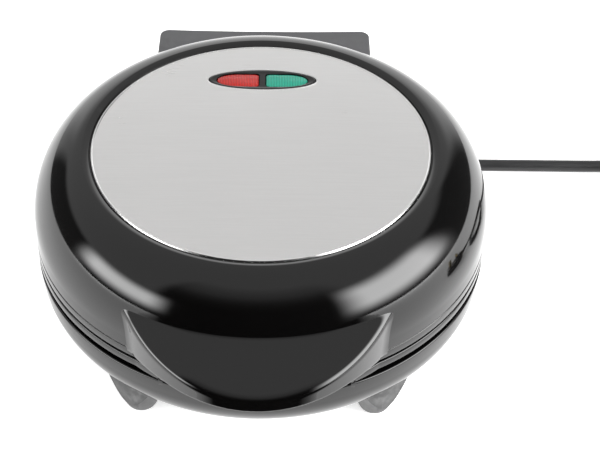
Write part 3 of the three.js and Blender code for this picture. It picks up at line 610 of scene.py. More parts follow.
def build_plug():
    x = PLUG_X
    outline = rounded([
        (x - PLUG_HALF + 9, PLUG_NEAR, 4), (x - PLUG_HALF, PLUG_NEAR - 12, 8), (x - PLUG_HALF, PLUG_FAR, 9),
        (x + PLUG_HALF, PLUG_FAR, 9), (x + PLUG_HALF, PLUG_NEAR - 12, 8), (x + PLUG_HALF - 9, PLUG_NEAR, 4),
    ], True, 8)
    body = prism("plug_housing", outline, 0.2, PLUG_TOP)
    bevel(body, 2.2, 4, 50)
    tools = [block(x - 7, x + 7, -39, -33.5, PLUG_TOP - 4, PLUG_TOP + 1)]
    for px, py, w, d, _ in pins():
        tools.append(block(px - w / 2 - GAP, px + w / 2 + GAP, py - d / 2 - GAP, py + d / 2 + GAP,
                           PLUG_TOP - 6, PLUG_TOP + 1))
    for side in (-1, 1):
        for i in range(5):
            y = -22 - i * 4.2
            edge = x + side * PLUG_HALF
            tools.append(cylinder(1.1, 5, 17, edge + side * 0.5, y, 16))
    boolean(body, tools, sharp=30)
    show(body, "base", "plug_black", PLUG, "plug_body")
    cover = block(x - 6.7, x + 6.7, -38.7, -33.8, PLUG_TOP - 3.7, PLUG_TOP, "fuse_carrier")
    bevel(cover, 0.4, 2)
    boolean(cover, [block(x - 2.4, x + 2.4, -36.75, -35.75, PLUG_TOP - 0.8, PLUG_TOP + 1)])
    show(cover, "base", "plug_black", CORD, "plug_fuse_cover")


def pins():
    return [
        (PLUG_X - PIN_PITCH / 2, PIN_ROW, 6.35, 4, 17.7),
        (PLUG_X + PIN_PITCH / 2, PIN_ROW, 6.35, 4, 17.7),
        (PLUG_X, PIN_ROW - PIN_PITCH, 4, 8, 22.7),
    ]


def build_pins():
    for (x, y, w, d, h), name in zip(pins(), ("live", "neutral", "earth")):
        rows = [(PLUG_TOP - 5.7, 1), (PLUG_TOP + h - 2.2, 1), (PLUG_TOP + h - 0.8, 0.8), (PLUG_TOP + h, 0.55)]
        sections = []
        for z, k in rows:
            a, b = w / 2 * k, d / 2 * k
            corner = rounded([(x - a, y - b, 0.5), (x + a, y - b, 0.5), (x + a, y + b, 0.5), (x - a, y + b, 0.5)],
                             True, 3)
            sections.append([(px, py, z) for px, py in corner])
        pin = sweep_profile("plug_blade_" + name, sections)
        show(pin, "base", "brass", BRASS, "plug_pin_" + name)
        if name != "earth":
            a, b = w / 2 + 0.12, d / 2 + 0.12
            ring = rounded([(x - a, y - b, 0.6), (x + a, y - b, 0.6), (x + a, y + b, 0.6), (x - a, y + b, 0.6)],
                           True, 3)
            sleeve = prism("pin_sleeve_" + name, ring, PLUG_TOP - 5, PLUG_TOP + 9)
            show(sleeve, "base", "plug_black", PLUG)


build_plug()
build_pins()


def build_tie():
    """A flat strap around the coil's two layers."""
    mid = COIL_X - COIL_R
    outer = rounded([(mid - 4.9, 0.1, 2.2), (mid + 5.3, 0.1, 2.2), (mid + 5.3, 15.9, 2.2), (mid - 4.9, 15.9, 2.2)])
    inner = rounded([(mid - 4.1, 0.9, 1.5), (mid + 4.5, 0.9, 1.5), (mid + 4.5, 15.1, 1.5), (mid - 4.1, 15.1, 1.5)])
    strap = prism("cord_strap", outer, COIL_Y - 6, COIL_Y + 6, "Y")
    boolean(strap, [prism("tool", inner, COIL_Y - 7, COIL_Y + 7, "Y")])
    bevel(strap, 0.25, 2, 50)
    show(strap, "base", "rubber", RUBBER, "cord_tie")
    return strap


strap = build_tie()


# ---------------------------------------------------------------- base
def build_base_shell():
    w = WALL
    outline = rounded([(0, FLOOR_Z), (BOWL_FLAT_R - 4, FLOOR_Z)], False)
    outline += arc(BOWL_FLAT_R, BOWL_WAIST_Z, BODY_R - BOWL_FLAT_R, BOWL_WAIST_Z - FLOOR_Z, -90, 0, 28)
    outline += rounded([
        (BODY_R + 0.02, BOWL_WAIST_Z + 0.5), (BOWL_TOP_R, BOWL_TOP_Z, 0.9), (NECK_R, BOWL_TOP_Z, 0.4),
        (NECK_R, RIM_Z - GAP, 0.3), (NECK_R - w, RIM_Z - GAP, 0.3), (NECK_R - w, BOWL_TOP_Z - w, 0.5),
        (BODY_R - w, BOWL_TOP_Z - w, 0.5), (BODY_R - w, BOWL_WAIST_Z + 0.5),
    ], False)
    outline += arc(BOWL_FLAT_R, BOWL_WAIST_Z, BODY_R - BOWL_FLAT_R - w, BOWL_WAIST_Z - FLOOR_Z - w, 0, -90, 14)
    outline += [(0, FLOOR_Z + w)]
    shell = revolve("base_bowl", outline, 224)
    boolean(shell, [cylinder(5.4, FLOOR_Z + 1, 19.6, x, y, 32) for x, y in post_centres()], "UNION")
    tools = []
    for x, y in post_centres():
        tools.append(cylinder(SCREW_R + GAP, FLOOR_Z - 1, 20.6, x, y, 24))
        tools.append(revolve("tool", [(0, FLOOR_Z - 1), (HEAD_R + 1.2, FLOOR_Z - 1), (HEAD_R + 0.6, FLOOR_Z + 0.25),
                                      (HEAD_R + GAP, FLOOR_Z + 0.7), (HEAD_R + GAP, 15), (0, 15)], 32, (x, y)))
    for side in (-1, 1):
        for i in range(-2, 3):
            x, y = side * 58, i * 7
            slot = rounded([(x - 10, y - 1.5, 1.45), (x + 10, y - 1.5, 1.45), (x + 10, y + 1.5, 1.45),
                            (x - 10, y + 1.5, 1.45)], True, 6)
            tools.append(prism("tool", slot, FLOOR_Z - 1, FLOOR_Z + 4))
    tools.append(block(26, 46, 88, 125, 15.5, 27))
    boolean(shell, tools)
    show(shell, "base", "gloss_black", GLOSS, "base_shell")


def ellipse_r(angle, a, b, centre_y):
    """Distance from the axis to a plan ellipse in front of it, angle measured from the front."""
    s, c = math.sin(angle), -math.cos(angle)
    square = (s / a) ** 2 + (c / b) ** 2
    linear = -2 * c * centre_y / b ** 2
    root = linear * linear - 4 * square * ((centre_y / b) ** 2 - 1)
    return (-linear + math.sqrt(root)) / (2 * square) if root > 0 else 0


def build_rim():
    sections = []
    for i in range(960):
        t = 2 * math.pi * i / 960 - math.pi
        r = RIM_R
        if abs(t) < math.radians(60):
            r = max(r, ellipse_r(t, LIP_A, LIP_B, LIP_Y))
        profile = rounded([(RIM_INNER_R, RIM_Z, 0.2), (r, RIM_Z, 0.5), (r, RIM_TOP_Z, 0.8),
                           (RIM_INNER_R, RIM_TOP_Z, 0.4)], True, 4)
        s, c = math.sin(t), -math.cos(t)
        sections.append([(u * s, u * c, z) for u, z in profile])
    ring = sweep_profile("base_rim", sections, True)
    ribs = []
    for side in (-1, 1):
        x = side * LIP_NOTCH_X
        notch = block(x - LIP_NOTCH_W / 2, x + LIP_NOTCH_W / 2, -125, -90, RIM_Z - 1, RIM_TOP_Z + 1)
        boolean(notch, [cylinder(RIM_R, RIM_Z - 2, RIM_TOP_Z + 2, 0, 0, 160)])
        boolean(ring, [notch])
        x = side * (LIP_NOTCH_X + LIP_NOTCH_W / 2 + LIP_RIB_W / 2)
        y = LIP_Y - LIP_B * math.sqrt(1 - (x / LIP_A) ** 2)
        rib = block(x - LIP_RIB_W / 2, x + LIP_RIB_W / 2, y + 0.15, y + 1.8, BOWL_TOP_Z + GAP, RIM_Z + 1, "rib")
        ribs.append(bevel(rib, 0.25, 2, 50))
    whole = merged("base_rim", [ring] + ribs)
    show(whole, "base", "gloss_black", GLOSS, "base_rim_ring")


def build_feet():
    t = math.radians(FOOT_ANGLE)
    for end, sy in (("front", -1), ("rear", 1)):
        for hand, sx in (("left", -1), ("right", 1)):
            x, y = sx * FOOT_RING * math.cos(t), sy * FOOT_RING * math.sin(t)
            r = FOOT_BOTTOM_R
            outline = rounded([(0, 0.6), (r - 0.2, 0.6, 2.2), (FOOT_TOP_R, FOOT_TOP, 0), (0, FOOT_TOP)], False, 8)
            cone = revolve("foot_cone_%s_%s" % (end, hand), outline, 64, (x, y))
            limit = revolve("tool", [(0, 0), (FOOT_LIMIT_R, 0), (FOOT_LIMIT_R, 22), (0, 22)], 160)
            boolean(cone, [limit], "INTERSECT")
            boolean(cone, [bowl_block(-0.2), cylinder(r - 2 + GAP, 0, 1.7, x, y, 32)])
            show(cone, "base", "foot_grey", FOOT_GREY, "foot_%s_%s" % (end, hand))
            pad = revolve("foot_grip_%s_%s" % (end, hand),
                          rounded([(0, 0), (r - 2, 0, 0.5), (r - 2, 1.4, 0.2), (0, 1.4)], False), 32, (x, y))
            show(pad, "base", "rubber", RUBBER, "foot_pad_%s_%s" % (end, hand))


# ---------------------------------------------------------------- hinge
def build_bracket():
    w = WALL
    plan = rounded([(-BRACKET_X, BRACKET_FRONT), (BRACKET_X, BRACKET_FRONT), (BRACKET_X, BRACKET_BACK, 6),
                    (-BRACKET_X, BRACKET_BACK, 6)], True, 8)
    housing = prism("hinge_housing", plan, FLOOR_Z, BRACKET_TOP)
    bevel(housing, 1.2, 4, 50)
    tools = [
        block(-BRACKET_X + w, BRACKET_X - w, 80, BRACKET_BACK - w, FLOOR_Z + w, BRACKET_TOP - w),
        block(-7, 7, 112.3, 115, BRACKET_TOP - w - 1, BRACKET_TOP + 1),
        cylinder(GLAND_TIP_R - 0.4, BRACKET_X - w - 1, BRACKET_X + 1, GLAND_Y, GLAND_Z, 32, "X"),
        bowl_block(0.15),
        revolve("tool", [(0, 40), (NECK_R + GAP, 40), (NECK_R + GAP, 47), (0, 47)], 160),
        revolve("tool", [(0, RIM_Z - GAP), (RIM_R + GAP, RIM_Z - GAP), (RIM_R + GAP, 48), (0, 48)], 160),
    ]
    boolean(housing, tools)
    ears = []
    for side in (-1, 1):
        x0, x1 = (EAR_X, EAR_X + EAR_T) if side > 0 else (-EAR_X - EAR_T, -EAR_X)
        outline = [(AXIS_Y - 9.5, AXIS_Z - 14), (AXIS_Y - 6.2, AXIS_Z - 14), (AXIS_Y - 1.6, AXIS_Z - 5.3)]
        outline += arc(AXIS_Y, AXIS_Z, KNUCKLE_R, KNUCKLE_R, -100, 135, 20)
        outline += [(AXIS_Y - 9.5, AXIS_Z - 3)]
        ear = prism("hinge_ear_" + ("right" if side > 0 else "left"), outline, x0, x1, "X")
        bevel(ear, 0.5, 3, 50)
        boolean(ear, [cylinder(PIN_R + 0.15, x0 - 1, x1 + 1, AXIS_Y, AXIS_Z, 32, "X")])
        ears.append(ear)
    whole = merged("hinge_housing_with_ears", [housing] + ears)
    show(whole, "base", "gloss_black", PLASTIC_IN, "hinge_bracket")


def build_pins_of_hinge():
    for side, hand in ((-1, "left"), (1, "right")):
        a, b = sorted((side * (EAR_X - 1.4), side * (LUG_X + LUG_T + 1.4)))
        outline = rounded([(0, a), (PIN_R, a, 0.4), (PIN_R, b, 0.4), (0, b)], False)
        pin = revolve("hinge_rod_" + hand, outline, 40, (AXIS_Y, AXIS_Z), "X")
        show(pin, "base", "zinc_steel", ZINC, "hinge_pin_" + hand)


def cover_plan(inset):
    half, back, radius = HINGE_X - inset, HINGE_BACK - inset, 5 - inset
    points = [(-half, 80), (half, 80)]
    points += arc(half - radius, back - radius, radius, radius, 0, 90, 8)
    for i in range(1, 16):
        u = 1 - 2 * i / 16
        points.append((u * (half - radius), back - (1 - u * u)))
    points += arc(-half + radius, back - radius, radius, radius, 90, 180, 8)
    return points


def build_hinge_cover():
    cover = prism("hinge_shroud", cover_plan(0), HINGE_BOTTOM, HINGE_TOP)
    bevel(cover, 0.9, 4, 50)
    boolean(cover, [prism("tool", cover_plan(HINGE_T), HINGE_BOTTOM - 1, HINGE_TOP - HINGE_T)])
    lugs = []
    for side in (-1, 1):
        x0, x1 = (LUG_X, LUG_X + LUG_T) if side > 0 else (-LUG_X - LUG_T, -LUG_X)
        outline = arc(AXIS_Y, AXIS_Z, KNUCKLE_R, KNUCKLE_R, 180, 360, 24)
        outline += [(AXIS_Y + KNUCKLE_R, HINGE_TOP - 1), (AXIS_Y - KNUCKLE_R, HINGE_TOP - 1)]
        lugs.append(prism("tool", outline, x0, x1, "X"))
    boolean(cover, lugs, "UNION")
    tools = [lid_block(0.12)]
    for side in (-1, 1):
        tools.append(cylinder(PIN_R + 0.15, side * 48 - 5, side * 48 + 5, AXIS_Y, AXIS_Z, 32, "X"))
    boolean(cover, tools)
    show(cover, "lid", "matte_grey", MATTE, "hinge_cover")


# ---------------------------------------------------------------- lid
def crown(r):
    return COVER_CROWN * (1 - (r / COVER_R) ** 2)


def build_lid_shell():
    under = RECESS_Z - WALL
    points = rounded([
        (LID_EDGE_R - 1.2, LID_Z), (LID_EDGE_R, LID_Z, 0.6), (LID_EDGE_R, LID_BEAD_Z - 0.55, 0.25),
        (LID_EDGE_R - 0.35, LID_BEAD_Z - 0.3, 0.1), (LID_EDGE_R - 0.35, LID_BEAD_Z + 0.15, 0.1),
        (LID_EDGE_R - 0.05, LID_BEAD_Z + 0.45, 0.25), (BODY_R + 0.02, SHOULDER_Z - 1),
    ], False)
    points += arc(LID_TOP_R, SHOULDER_Z, BODY_R - LID_TOP_R, LID_TOP_Z - SHOULDER_Z, 0, 84.5, 44)
    points += rounded([
        (LID_TOP_R + 2.4, LID_TOP_Z - 0.13, 0.8), (LID_TOP_R - 0.6, COVER_Z - 0.1, 0.3), (LID_TOP_R - 0.6, RECESS_Z, 0.2),
        (LID_TOP_R - 3, RECESS_Z),
    ], False)
    points += [(60, RECESS_Z + crown(60)), (30, RECESS_Z + crown(30)), (0, RECESS_Z + COVER_CROWN)]
    points += [(0, under), (LID_TOP_R - 4, under)]
    points += arc(LID_TOP_R - 4, SHOULDER_Z, BODY_R - LID_TOP_R + 4 - WALL, under - SHOULDER_Z, 90, 0, 20)
    points += [(BODY_R - WALL, LID_Z)]
    sides = 256
    verts, rings = [], []
    for r, h in points:
        if r < 1e-6:
            rings.append([len(verts)] * sides)
            verts.append((0, 0, h))
        else:
            start = len(verts)
            rings.append(list(range(start, start + sides)))
            verts += [(r * math.cos(2 * math.pi * k / sides), r * math.sin(2 * math.pi * k / sides), h)
                      for k in range(sides)]
    faces = []
    for i, low in enumerate(rings):
        high = rings[(i + 1) % len(rings)]
        if low[0] == low[1] and high[0] == high[1]:
            continue
        for k in range(sides):
            n = (k + 1) % sides
            face = []
            for v in (low[k], low[n], high[n], high[k]):
                if v not in face:
                    face.append(v)
            if len(face) > 2:
                faces.append(face)
    shell = new_mesh("lid_dome", verts, faces)
    boolean(shell, [cylinder(5.4, 73.6, under + 1, x, y, 32) for x, y in post_centres()], "UNION")
    tools = [oval(GAP, 86, 99), block(-8, 8, 100, 120, 55.5, 63)]
    for x, y in post_centres():
        tools.append(cylinder(SCREW_R + GAP, 72, LID_TOP_Z, x, y, 24))
        tools.append(cylinder(HEAD_R + GAP, RECESS_Z - 0.5 - 2 - GAP, LID_TOP_Z, x, y, 32))
    for side in (-1, 1):
        tools.append(cylinder(SCREW_R + GAP, -114, -98, side * HANDLE_SCREW_X, HANDLE_SCREW_Z, 24, "Y"))
    boolean(shell, tools)
    show(shell, "lid", "gloss_black", GLOSS, "lid_shell")


def build_cover():
    flat_r, low = COVER_R - 0.7, COVER_Z - COVER_T
    top = [(r, COVER_Z + crown(r)) for r in (0, 20, 40, 60, 74, flat_r)]
    bottom = [(flat_r, low + 0.1)] + [(r, low + crown(r)) for r in (74, 60, 40, 20, 0)]
    disc = revolve("steel_top", top + bottom, 256)
    boolean(disc, [oval(GAP + 0.1, 90, 99)])
    show(disc, "lid", "brushed_steel", STEEL, "steel_cover")
    # its polished edge, chamfered down into the groove
    outline = rounded([
        (flat_r - 0.6, low), (flat_r - 0.6, COVER_Z), (flat_r - 0.25, COVER_Z + 0.3, 0.2), (COVER_R - 0.5, COVER_Z + 0.3, 0.12),
        (COVER_R, COVER_Z - 0.4, 0.1), (COVER_R, low),
    ], True, 3)
    edge = revolve("steel_edge", outline, 256)
    # the punched oval hole has its edge turned down
    sections = []
    for i in range(128):
        t = 2 * math.pi * i / 128
        nx, ny = math.cos(t) / (BEZEL_A + GAP), math.sin(t) / (BEZEL_B + GAP)
        size = math.hypot(nx, ny)
        nx, ny = nx / size, ny / size
        x, y = (BEZEL_A + GAP) * math.cos(t), BEZEL_Y + (BEZEL_B + GAP) * math.sin(t)
        profile = []
        for u, d in ((0.0, -1.1), (0.0, -0.78), (0.04, -0.68), (0.48, -0.08), (0.58, -0.01), (0.8, 0.02), (0.8, -0.75)):
            px, py = x + nx * u, y + ny * u
            profile.append((px, py, COVER_Z + crown(math.hypot(px, py)) + d))
        sections.append(profile)
    lip = sweep_profile("oval_lip", sections, True)
    show(merged("steel_edge", [edge, lip]), "lid", "brushed_steel", STEEL_EDGE)


def lens_outline(side, grow, steps=20):
    straight = LENS_LENGTH - 11
    half = LENS_HALF + grow
    points = rounded([(LENS_INNER - grow, 0), (LENS_INNER - grow, -half, 1.6), (LENS_INNER + straight * 0.5, -half)],
                     False, 6)[1:]
    points += arc(LENS_INNER + straight, 0, 11 + grow, half, -90, 90, steps)
    points += rounded([(LENS_INNER + straight * 0.5, half), (LENS_INNER - grow, half, 1.6), (LENS_INNER - grow, 0)],
                      False, 6)
    if side < 0:
        points = [(-x, y) for x, y in points][::-1]
    return [(x, y + BEZEL_Y) for x, y in points]


def build_bezel():
    sections = []
    steps = 128
    for i in range(steps):
        t = 2 * math.pi * i / steps
        c, s = math.cos(t), math.sin(t)
        row = []
        for inset, z in ((0, BEZEL_BOTTOM), (0, BEZEL_TOP - 0.5), (0.12, BEZEL_TOP - 0.14), (0.5, BEZEL_TOP),
                         (1.0, BEZEL_TOP - 0.03), (2.2, BEZEL_TOP - 0.3)):
            row.append(((BEZEL_A - inset) * c, BEZEL_Y + (BEZEL_B - inset) * s, z))
        sections.append(row)
    verts = [p for row in sections for p in row]
    width = len(sections[0])
    faces = []
    for i in range(steps):
        a, b = i * width, ((i + 1) % steps) * width
        for k in range(width - 1):
            faces.append([a + k, b + k, b + k + 1, a + k + 1])
    faces.append([i * width + width - 1 for i in range(steps)])
    faces.append([i * width for i in range(steps)][::-1])
    body = new_mesh("lamp_bezel", verts, faces)
    boolean(body, [prism("tool", lens_outline(side, 0.1), 80, 99) for side in (-1, 1)])
    show(body, "lid", "gloss_black", GLOSS, "indicator_bezel")


def build_lenses():
    for side, colour, material in ((-1, "red", RED), (1, "green", GREEN)):
        rows = [(0.0, LENS_BOTTOM), (0.0, LENS_TOP - 1.1), (-0.12, LENS_TOP - 0.55), (-0.5, LENS_TOP - 0.12),
                (-1.1, LENS_TOP)]
        sections = []
        for grow, z in rows:
            sections.append([(x, y, z) for x, y in lens_outline(side, grow)])
        piece = sweep_profile("lamp_lens_" + colour, sections)
        show(piece, "lid", colour + "_lens", material, "indicator_lens_" + colour)


# ---------------------------------------------------------------- handle
BLEND = 2.6
SUNK = 0.45
HANDLE_CREST_Z = 80


def smooth_max(a, b, width):
    overlap = max(width - abs(a - b), 0) / width
    return max(a, b) + overlap * overlap * width / 4


def top_z(r):
    return HANDLE_JOIN_Z - HANDLE_FALL * (r - HANDLE_JOIN_R)


def bottom_z(x):
    beyond = max(abs(x) - HANDLE_LEVEL_X, 0)
    return max(HANDLE_BOTTOM_Z - HANDLE_CURVE * beyond * beyond, LID_Z + 0.4)


def handle_surface(plan_r, z):
    """Radius of the visor's outside, with a rounded edge and a hollow where it runs into the dome."""
    cone_r = HANDLE_JOIN_R + (HANDLE_JOIN_Z - z) / HANDLE_FALL
    visor = -smooth_max(-plan_r, -cone_r, 6)
    return smooth_max(visor, dome_r(z) - SUNK, BLEND)


def handle_section(angle):
    side = math.sin(angle)
    plan_r = ellipse_r(angle, HANDLE_A, HANDLE_B, HANDLE_Y)
    low = bottom_z(plan_r * side)
    edge = 0.7
    bend = min(max(top_z(plan_r), low + 3), HANDLE_CREST_Z - 4)
    heights = [bend + (HANDLE_CREST_Z - bend) * (1 - i / 26) ** 1.6 for i in range(26)]
    heights += [bend - (bend - low - edge) * (i / 14) ** 1.3 for i in range(15)]
    points = [(handle_surface(plan_r, z), z) for z in heights]
    r_low = points[-1][0]
    for i in range(1, 5):
        t = i / 4 * math.pi / 2
        points.append((r_low - edge * (1 - math.cos(t)), low + edge * (1 - math.sin(t))))
    # pocket behind the skirt
    inner = plan_r - HANDLE_WALL
    wall = LID_EDGE_R + HANDLE_WALL
    open_by = min(1.0, max(0.0, (inner - wall - 1) / 4))
    if inner < wall:
        inner = wall = min(max(inner, LID_EDGE_R - 0.8), r_low - edge - 0.1)
    z_in, z_wall = bottom_z(inner * side), bottom_z(wall * side)
    deep_in = z_in + (top_z(inner) - HANDLE_WALL - z_in) * open_by
    deep_wall = z_wall + (top_z(wall) - HANDLE_WALL - z_wall) * open_by
    points += [(inner + 0.3 * open_by, z_in), (inner, z_in + 0.4 * open_by), (inner, deep_in - 0.8 * open_by),
               (inner - 0.8 * open_by, deep_in), (wall + 0.8 * open_by, deep_wall),
               (wall, deep_wall - 0.8 * open_by), (wall, z_wall + 0.3 * open_by), (wall - 0.3 * open_by, z_wall)]
    back = bottom_z(LID_EDGE_R * side)
    points += [(dome_r(z) - 1.3, z) for z in (back, (back + SHOULDER_Z) / 2, SHOULDER_Z, 68, 74, HANDLE_CREST_Z)]
    return points


def build_handle():
    limit = 0.0
    while ellipse_r(math.radians(limit), HANDLE_A, HANDLE_B, HANDLE_Y) > BODY_R - BLEND:
        limit += 0.05
    sections = []
    steps = 220
    for i in range(steps + 1):
        angle = math.radians(limit) * (2 * i / steps - 1)
        s, c = math.sin(angle), -math.cos(angle)
        sections.append([(r * s, r * c, z) for r, z in handle_section(angle)])
    body = sweep_profile("front_handle", sections, sharp=40)
    bosses = [revolve("tool", rounded([(0, -117.8), (4, -117.8, 0.4), (4, -111, 0), (0, -111)], False), 32,
                      (side * HANDLE_SCREW_X, HANDLE_SCREW_Z), "Y") for side in (-1, 1)]
    whole = merged("front_handle", [body] + bosses, 40)
    show(whole, "lid", "gloss_black", GLOSS, "upper_handle")


# ---------------------------------------------------------------- heating plates
def mould_tool(x, y, z0, up):
    """The ring-shaped cavity with rounded lips, at x, y; up is -1 for a cavity below the face."""
    middle, half = (MOULD_R + MOULD_HOLE_R) / 2, (MOULD_R - MOULD_HOLE_R) / 2
    lip = 1.3
    outline = []
    for i in range(25):
        t = math.pi * i / 24
        outline.append((middle - half * math.cos(t), MOULD_DEPTH * math.sin(t)))
    outline = [p for p in outline if p[1] > lip * 0.9]
    inner, outer = outline[0][0], outline[-1][0]
    start = [(inner - 1.45, -1), (inner - 1.45, 0.0), (inner - 0.95, 0.1), (inner - 0.45, 0.42), (inner - 0.14, 0.85)]
    end = [(outer + 0.14, 0.85), (outer + 0.45, 0.42), (outer + 0.95, 0.1), (outer + 1.45, 0.0), (outer + 1.45, -1)]
    loop = [(r, z0 + up * d) for r, d in start + outline + end]
    return revolve("tool", loop, 96, (x, y))


def build_plate(name, face_z, up, post_end, replaced, body):
    flat = rounded([(0, 0), (PLATE_R, 0, 0.8), (PLATE_R, PLATE_T, 0.5), (0, PLATE_T)], False, 4)
    plate = revolve(name, [(r, face_z + up * d) for r, d in flat], 224)
    bosses = []
    for x, y in mould_centres():
        outline = rounded([(0, 2), (BOSS_R, 2, 0), (BOSS_R, BOSS_DEPTH, 4), (0, BOSS_DEPTH)], False, 5)
        bosses.append(revolve("tool", [(r, face_z + up * d) for r, d in outline], 64, (x, y)))
    for x, y in post_centres():
        bosses.append(revolve("tool", [(r, face_z + up * d) for r, d in
                                       ((0, 2), (POST_R, 2), (POST_R, post_end), (0, post_end))], 24, (x, y)))
    boolean(plate, bosses, "UNION")
    tools = [mould_tool(x, y, face_z, up) for x, y in mould_centres()]
    for x, y in post_centres():
        tools.append(revolve("tool", [(r, face_z + up * d) for r, d in
                                      ((0, post_end - 9), (SCREW_R + 0.2, post_end - 9), (SCREW_R + 0.2, post_end + 1),
                                       (0, post_end + 1))], 24, (x, y)))
    boolean(plate, tools, sharp=40)
    show(plate, body, "non_stick", NON_STICK, replaced)


def build_lid_ring():
    outer = BODY_R - WALL - GAP
    outline = rounded([(RIM_INNER_R, LID_Z + GAP, 0.3), (outer, LID_Z + GAP, 0.3), (outer, 54, 0.2),
                       (RIM_INNER_R, 54, 0.4)], True, 4)
    ring = revolve("lid_inner_ring", outline, 224)
    show(ring, "lid", "gloss_black", PLASTIC_IN, "lid_rim_ring")


build_base_shell()
build_rim()
build_feet()
build_bracket()
build_pins_of_hinge()
build_hinge_cover()
build_lid_shell()
build_cover()
build_bezel()
build_lenses()
build_handle()
build_lid_ring()
build_plate("lower_mould_plate", LOWER_FACE_Z, -1, LOWER_FACE_Z - 20, "lower_heating_plate", "base")
build_plate("upper_mould_plate", UPPER_FACE_Z, 1, 73.2 - UPPER_FACE_Z, "upper_heating_plate", "lid")


# ---------------------------------------------------------------- studio
def stage_only(ob, diffuse, glossy):
    ob.visible_camera = False
    ob.visible_diffuse = diffuse
    ob.visible_glossy = glossy
    ob.visible_shadow = False
    ob.visible_transmission = False
    ob.visible_volume_scatter = False


def glow(name, strength, attribute=False):
    """Plain light, or light whose strength is stored in the mesh."""
    material = bpy.data.materials.new(name)
    material.use_nodes = True
    tree = material.node_tree
    tree.nodes.clear()
    emission = tree.nodes.new("ShaderNodeEmission")
    emission.inputs["Strength"].default_value = strength
    if attribute:
        stored = tree.nodes.new("ShaderNodeAttribute")
        stored.attribute_name = "radiance"
        tree.links.new(stored.outputs["Fac"], emission.inputs["Strength"])
        material.cycles.emission_sampling = "NONE"
    output = tree.nodes.new("ShaderNodeOutputMaterial")
    tree.links.new(emission.outputs[0], output.inputs[0])
    return material


def sky_patch(name, az0, az1, el0, el1, distance, step, strength):
    """A curved panel around the object. Azimuth 0 is the front, 90 the right-hand side.
    strength is a number, or a function of azimuth and elevation."""
    nu, nv = max(2, round((az1 - az0) / step)), max(2, round((el1 - el0) / step))
    verts, faces, values = [], [], []
    for j in range(nv + 1):
        for i in range(nu + 1):
            az, el = az0 + (az1 - az0) * i / nu, el0 + (el1 - el0) * j / nv
            a, e = math.radians(az), math.radians(el)
            verts.append((distance * math.cos(e) * math.sin(a) * MM, -distance * math.cos(e) * math.cos(a) * MM,
                          (60 + distance * math.sin(e)) * MM))
            values.append(strength(az, el) if callable(strength) else strength)
    for j in range(nv):
        for i in range(nu):
            a = j * (nu + 1) + i
            faces.append([a, a + 1, a + nu + 2, a + nu + 1])
    mesh = bpy.data.meshes.new(name)
    mesh.from_pydata(verts, [], faces)
    ob = bpy.data.objects.new(name, mesh)
    bpy.context.scene.collection.objects.link(ob)
    if callable(strength):
        mesh.attributes.new("radiance", "FLOAT", "POINT").data.foreach_set("value", values)
    mesh.materials.append(glow(name, 1 if callable(strength) else strength, callable(strength)))
    stage_only(ob, not callable(strength), callable(strength))
    return ob


def step_up(value, middle, width):
    t = min(1, max(0, (value - middle) / width + 0.5))
    return t * t * (3 - 2 * t)


def band(value, low, high, width):
    return step_up(value, low, width) * (1 - step_up(value, high, width))


FRONT_FADE = ((-10, 0.01), (28, 0.01), (36, 0.04), (42, 0.13), (46, 0.24), (50, 0.38), (58, 0.55), (68, 0.8))
SKY = 0.8


def front_fade(el):
    for (e0, v0), (e1, v1) in zip(FRONT_FADE, FRONT_FADE[1:]):
        if el < e1:
            return v0 + (v1 - v0) * max(0, el - e0) / (e1 - e0)
    return SKY


def room_light(az, el):
    """What glossy surfaces see around them: softboxes at both sides, dark in front, pale behind."""
    parts = (
        (band(az, -49, 999, 8) * (1 - step_up(az, 42, 18)), front_fade(el)),
        (band(az, -136, -91, 8) * band(el, -30, 24, 6), 0.1),
        (band(az, 100, 142, 10) * band(el, -30, 40, 8), 0.1),
        (band(abs(az), 147, 400, 12) * band(el, -30, 24, 14), 1.6),
        (band(az, 43, 92, 18) * (1 - step_up(el, 38, 18)), 0.05 + 11 * step_up(el, 7, 16)),
        (band(az, -86, -45, 14) * (1 - step_up(el, 22, 12)), 0.05 + 10 * step_up(el, 6, 13)),
    )
    value = SKY
    for share, level in parts:
        value += (level - value) * share
    return value


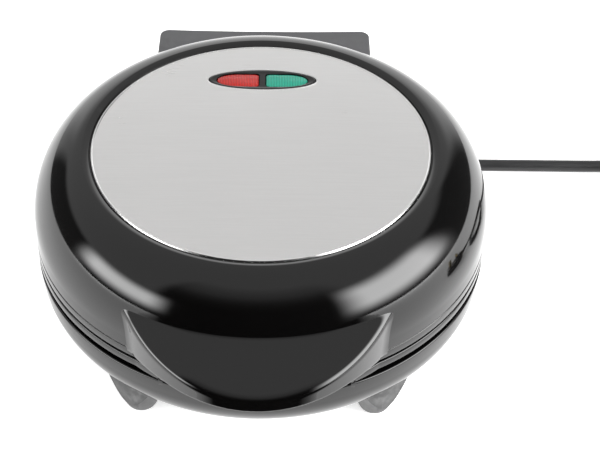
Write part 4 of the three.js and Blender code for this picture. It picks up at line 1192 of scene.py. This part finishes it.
world = bpy.data.worlds.new("studio")
bpy.context.scene.world = world
world.use_nodes = True
world.node_tree.nodes["Background"].inputs["Color"].default_value = (1, 1, 1, 1)
world.node_tree.nodes["Background"].inputs["Strength"].default_value = SKY

sky_patch("softbox_right", 49, 90, -1, 40, 1850, 8, 14)
sky_patch("softbox_left", -88, -52, -1, 22, 1850, 8, 12)
sky_patch("room", -180, 180, -3, 90, 1900, 1.5, room_light)

floor_material = Graph("paper_floor")
fibres = floor_material.noise(40, 4)
floor_material.link(floor_material.mix(floor_material.spread(fibres, 0, 1), (0.89, 0.89, 0.89), (0.91, 0.91, 0.91)),
                    floor_material.shader.inputs["Base Color"])
floor_material.set(Roughness=0.9, Specular_IOR_Level=0.0, Emission_Color=(1, 1, 1, 1), Emission_Strength=0.6)
floor = prism("floor", [(-3000, -3000), (3000, -3000), (3000, 3000), (-3000, 3000)], -5, 0)
floor.data.materials.append(floor_material.material)
# the floor is dark in front of the camera's side of the object, as glossy surfaces see it
PALE, DARK = 1.6, 0.012
rows = ((-136, 0, 26, PALE), (-150, 26, 60, DARK), (-182, 72, 125, DARK), (-215, 150, 240, DARK),
        (-400, 330, 470, DARK), (-1900, 1750, 1950, DARK))
points, values, faces = [], [], []
for y, inner, outer, level in rows:
    points += [(-outer * MM, y * MM, 0.0005), (-inner * MM, y * MM, 0.0005), (inner * MM, y * MM, 0.0005),
               (outer * MM, y * MM, 0.0005)]
    values += [PALE, level, level, PALE]
for i in range(len(rows) - 1):
    faces += [[4 * i + k, 4 * i + k + 1, 4 * i + k + 5, 4 * i + k + 4] for k in range(3)]
mesh = bpy.data.meshes.new("floor_card")
mesh.from_pydata(points, [], faces)
mesh.attributes.new("radiance", "FLOAT", "POINT").data.foreach_set("value", values)
mesh.materials.append(glow("floor_card", 1, True))
card = bpy.data.objects.new("floor_card", mesh)
bpy.context.scene.collection.objects.link(card)
stage_only(card, False, True)

scene = bpy.context.scene
scene.view_settings.view_transform = "Standard"
scene.view_settings.look = "None"
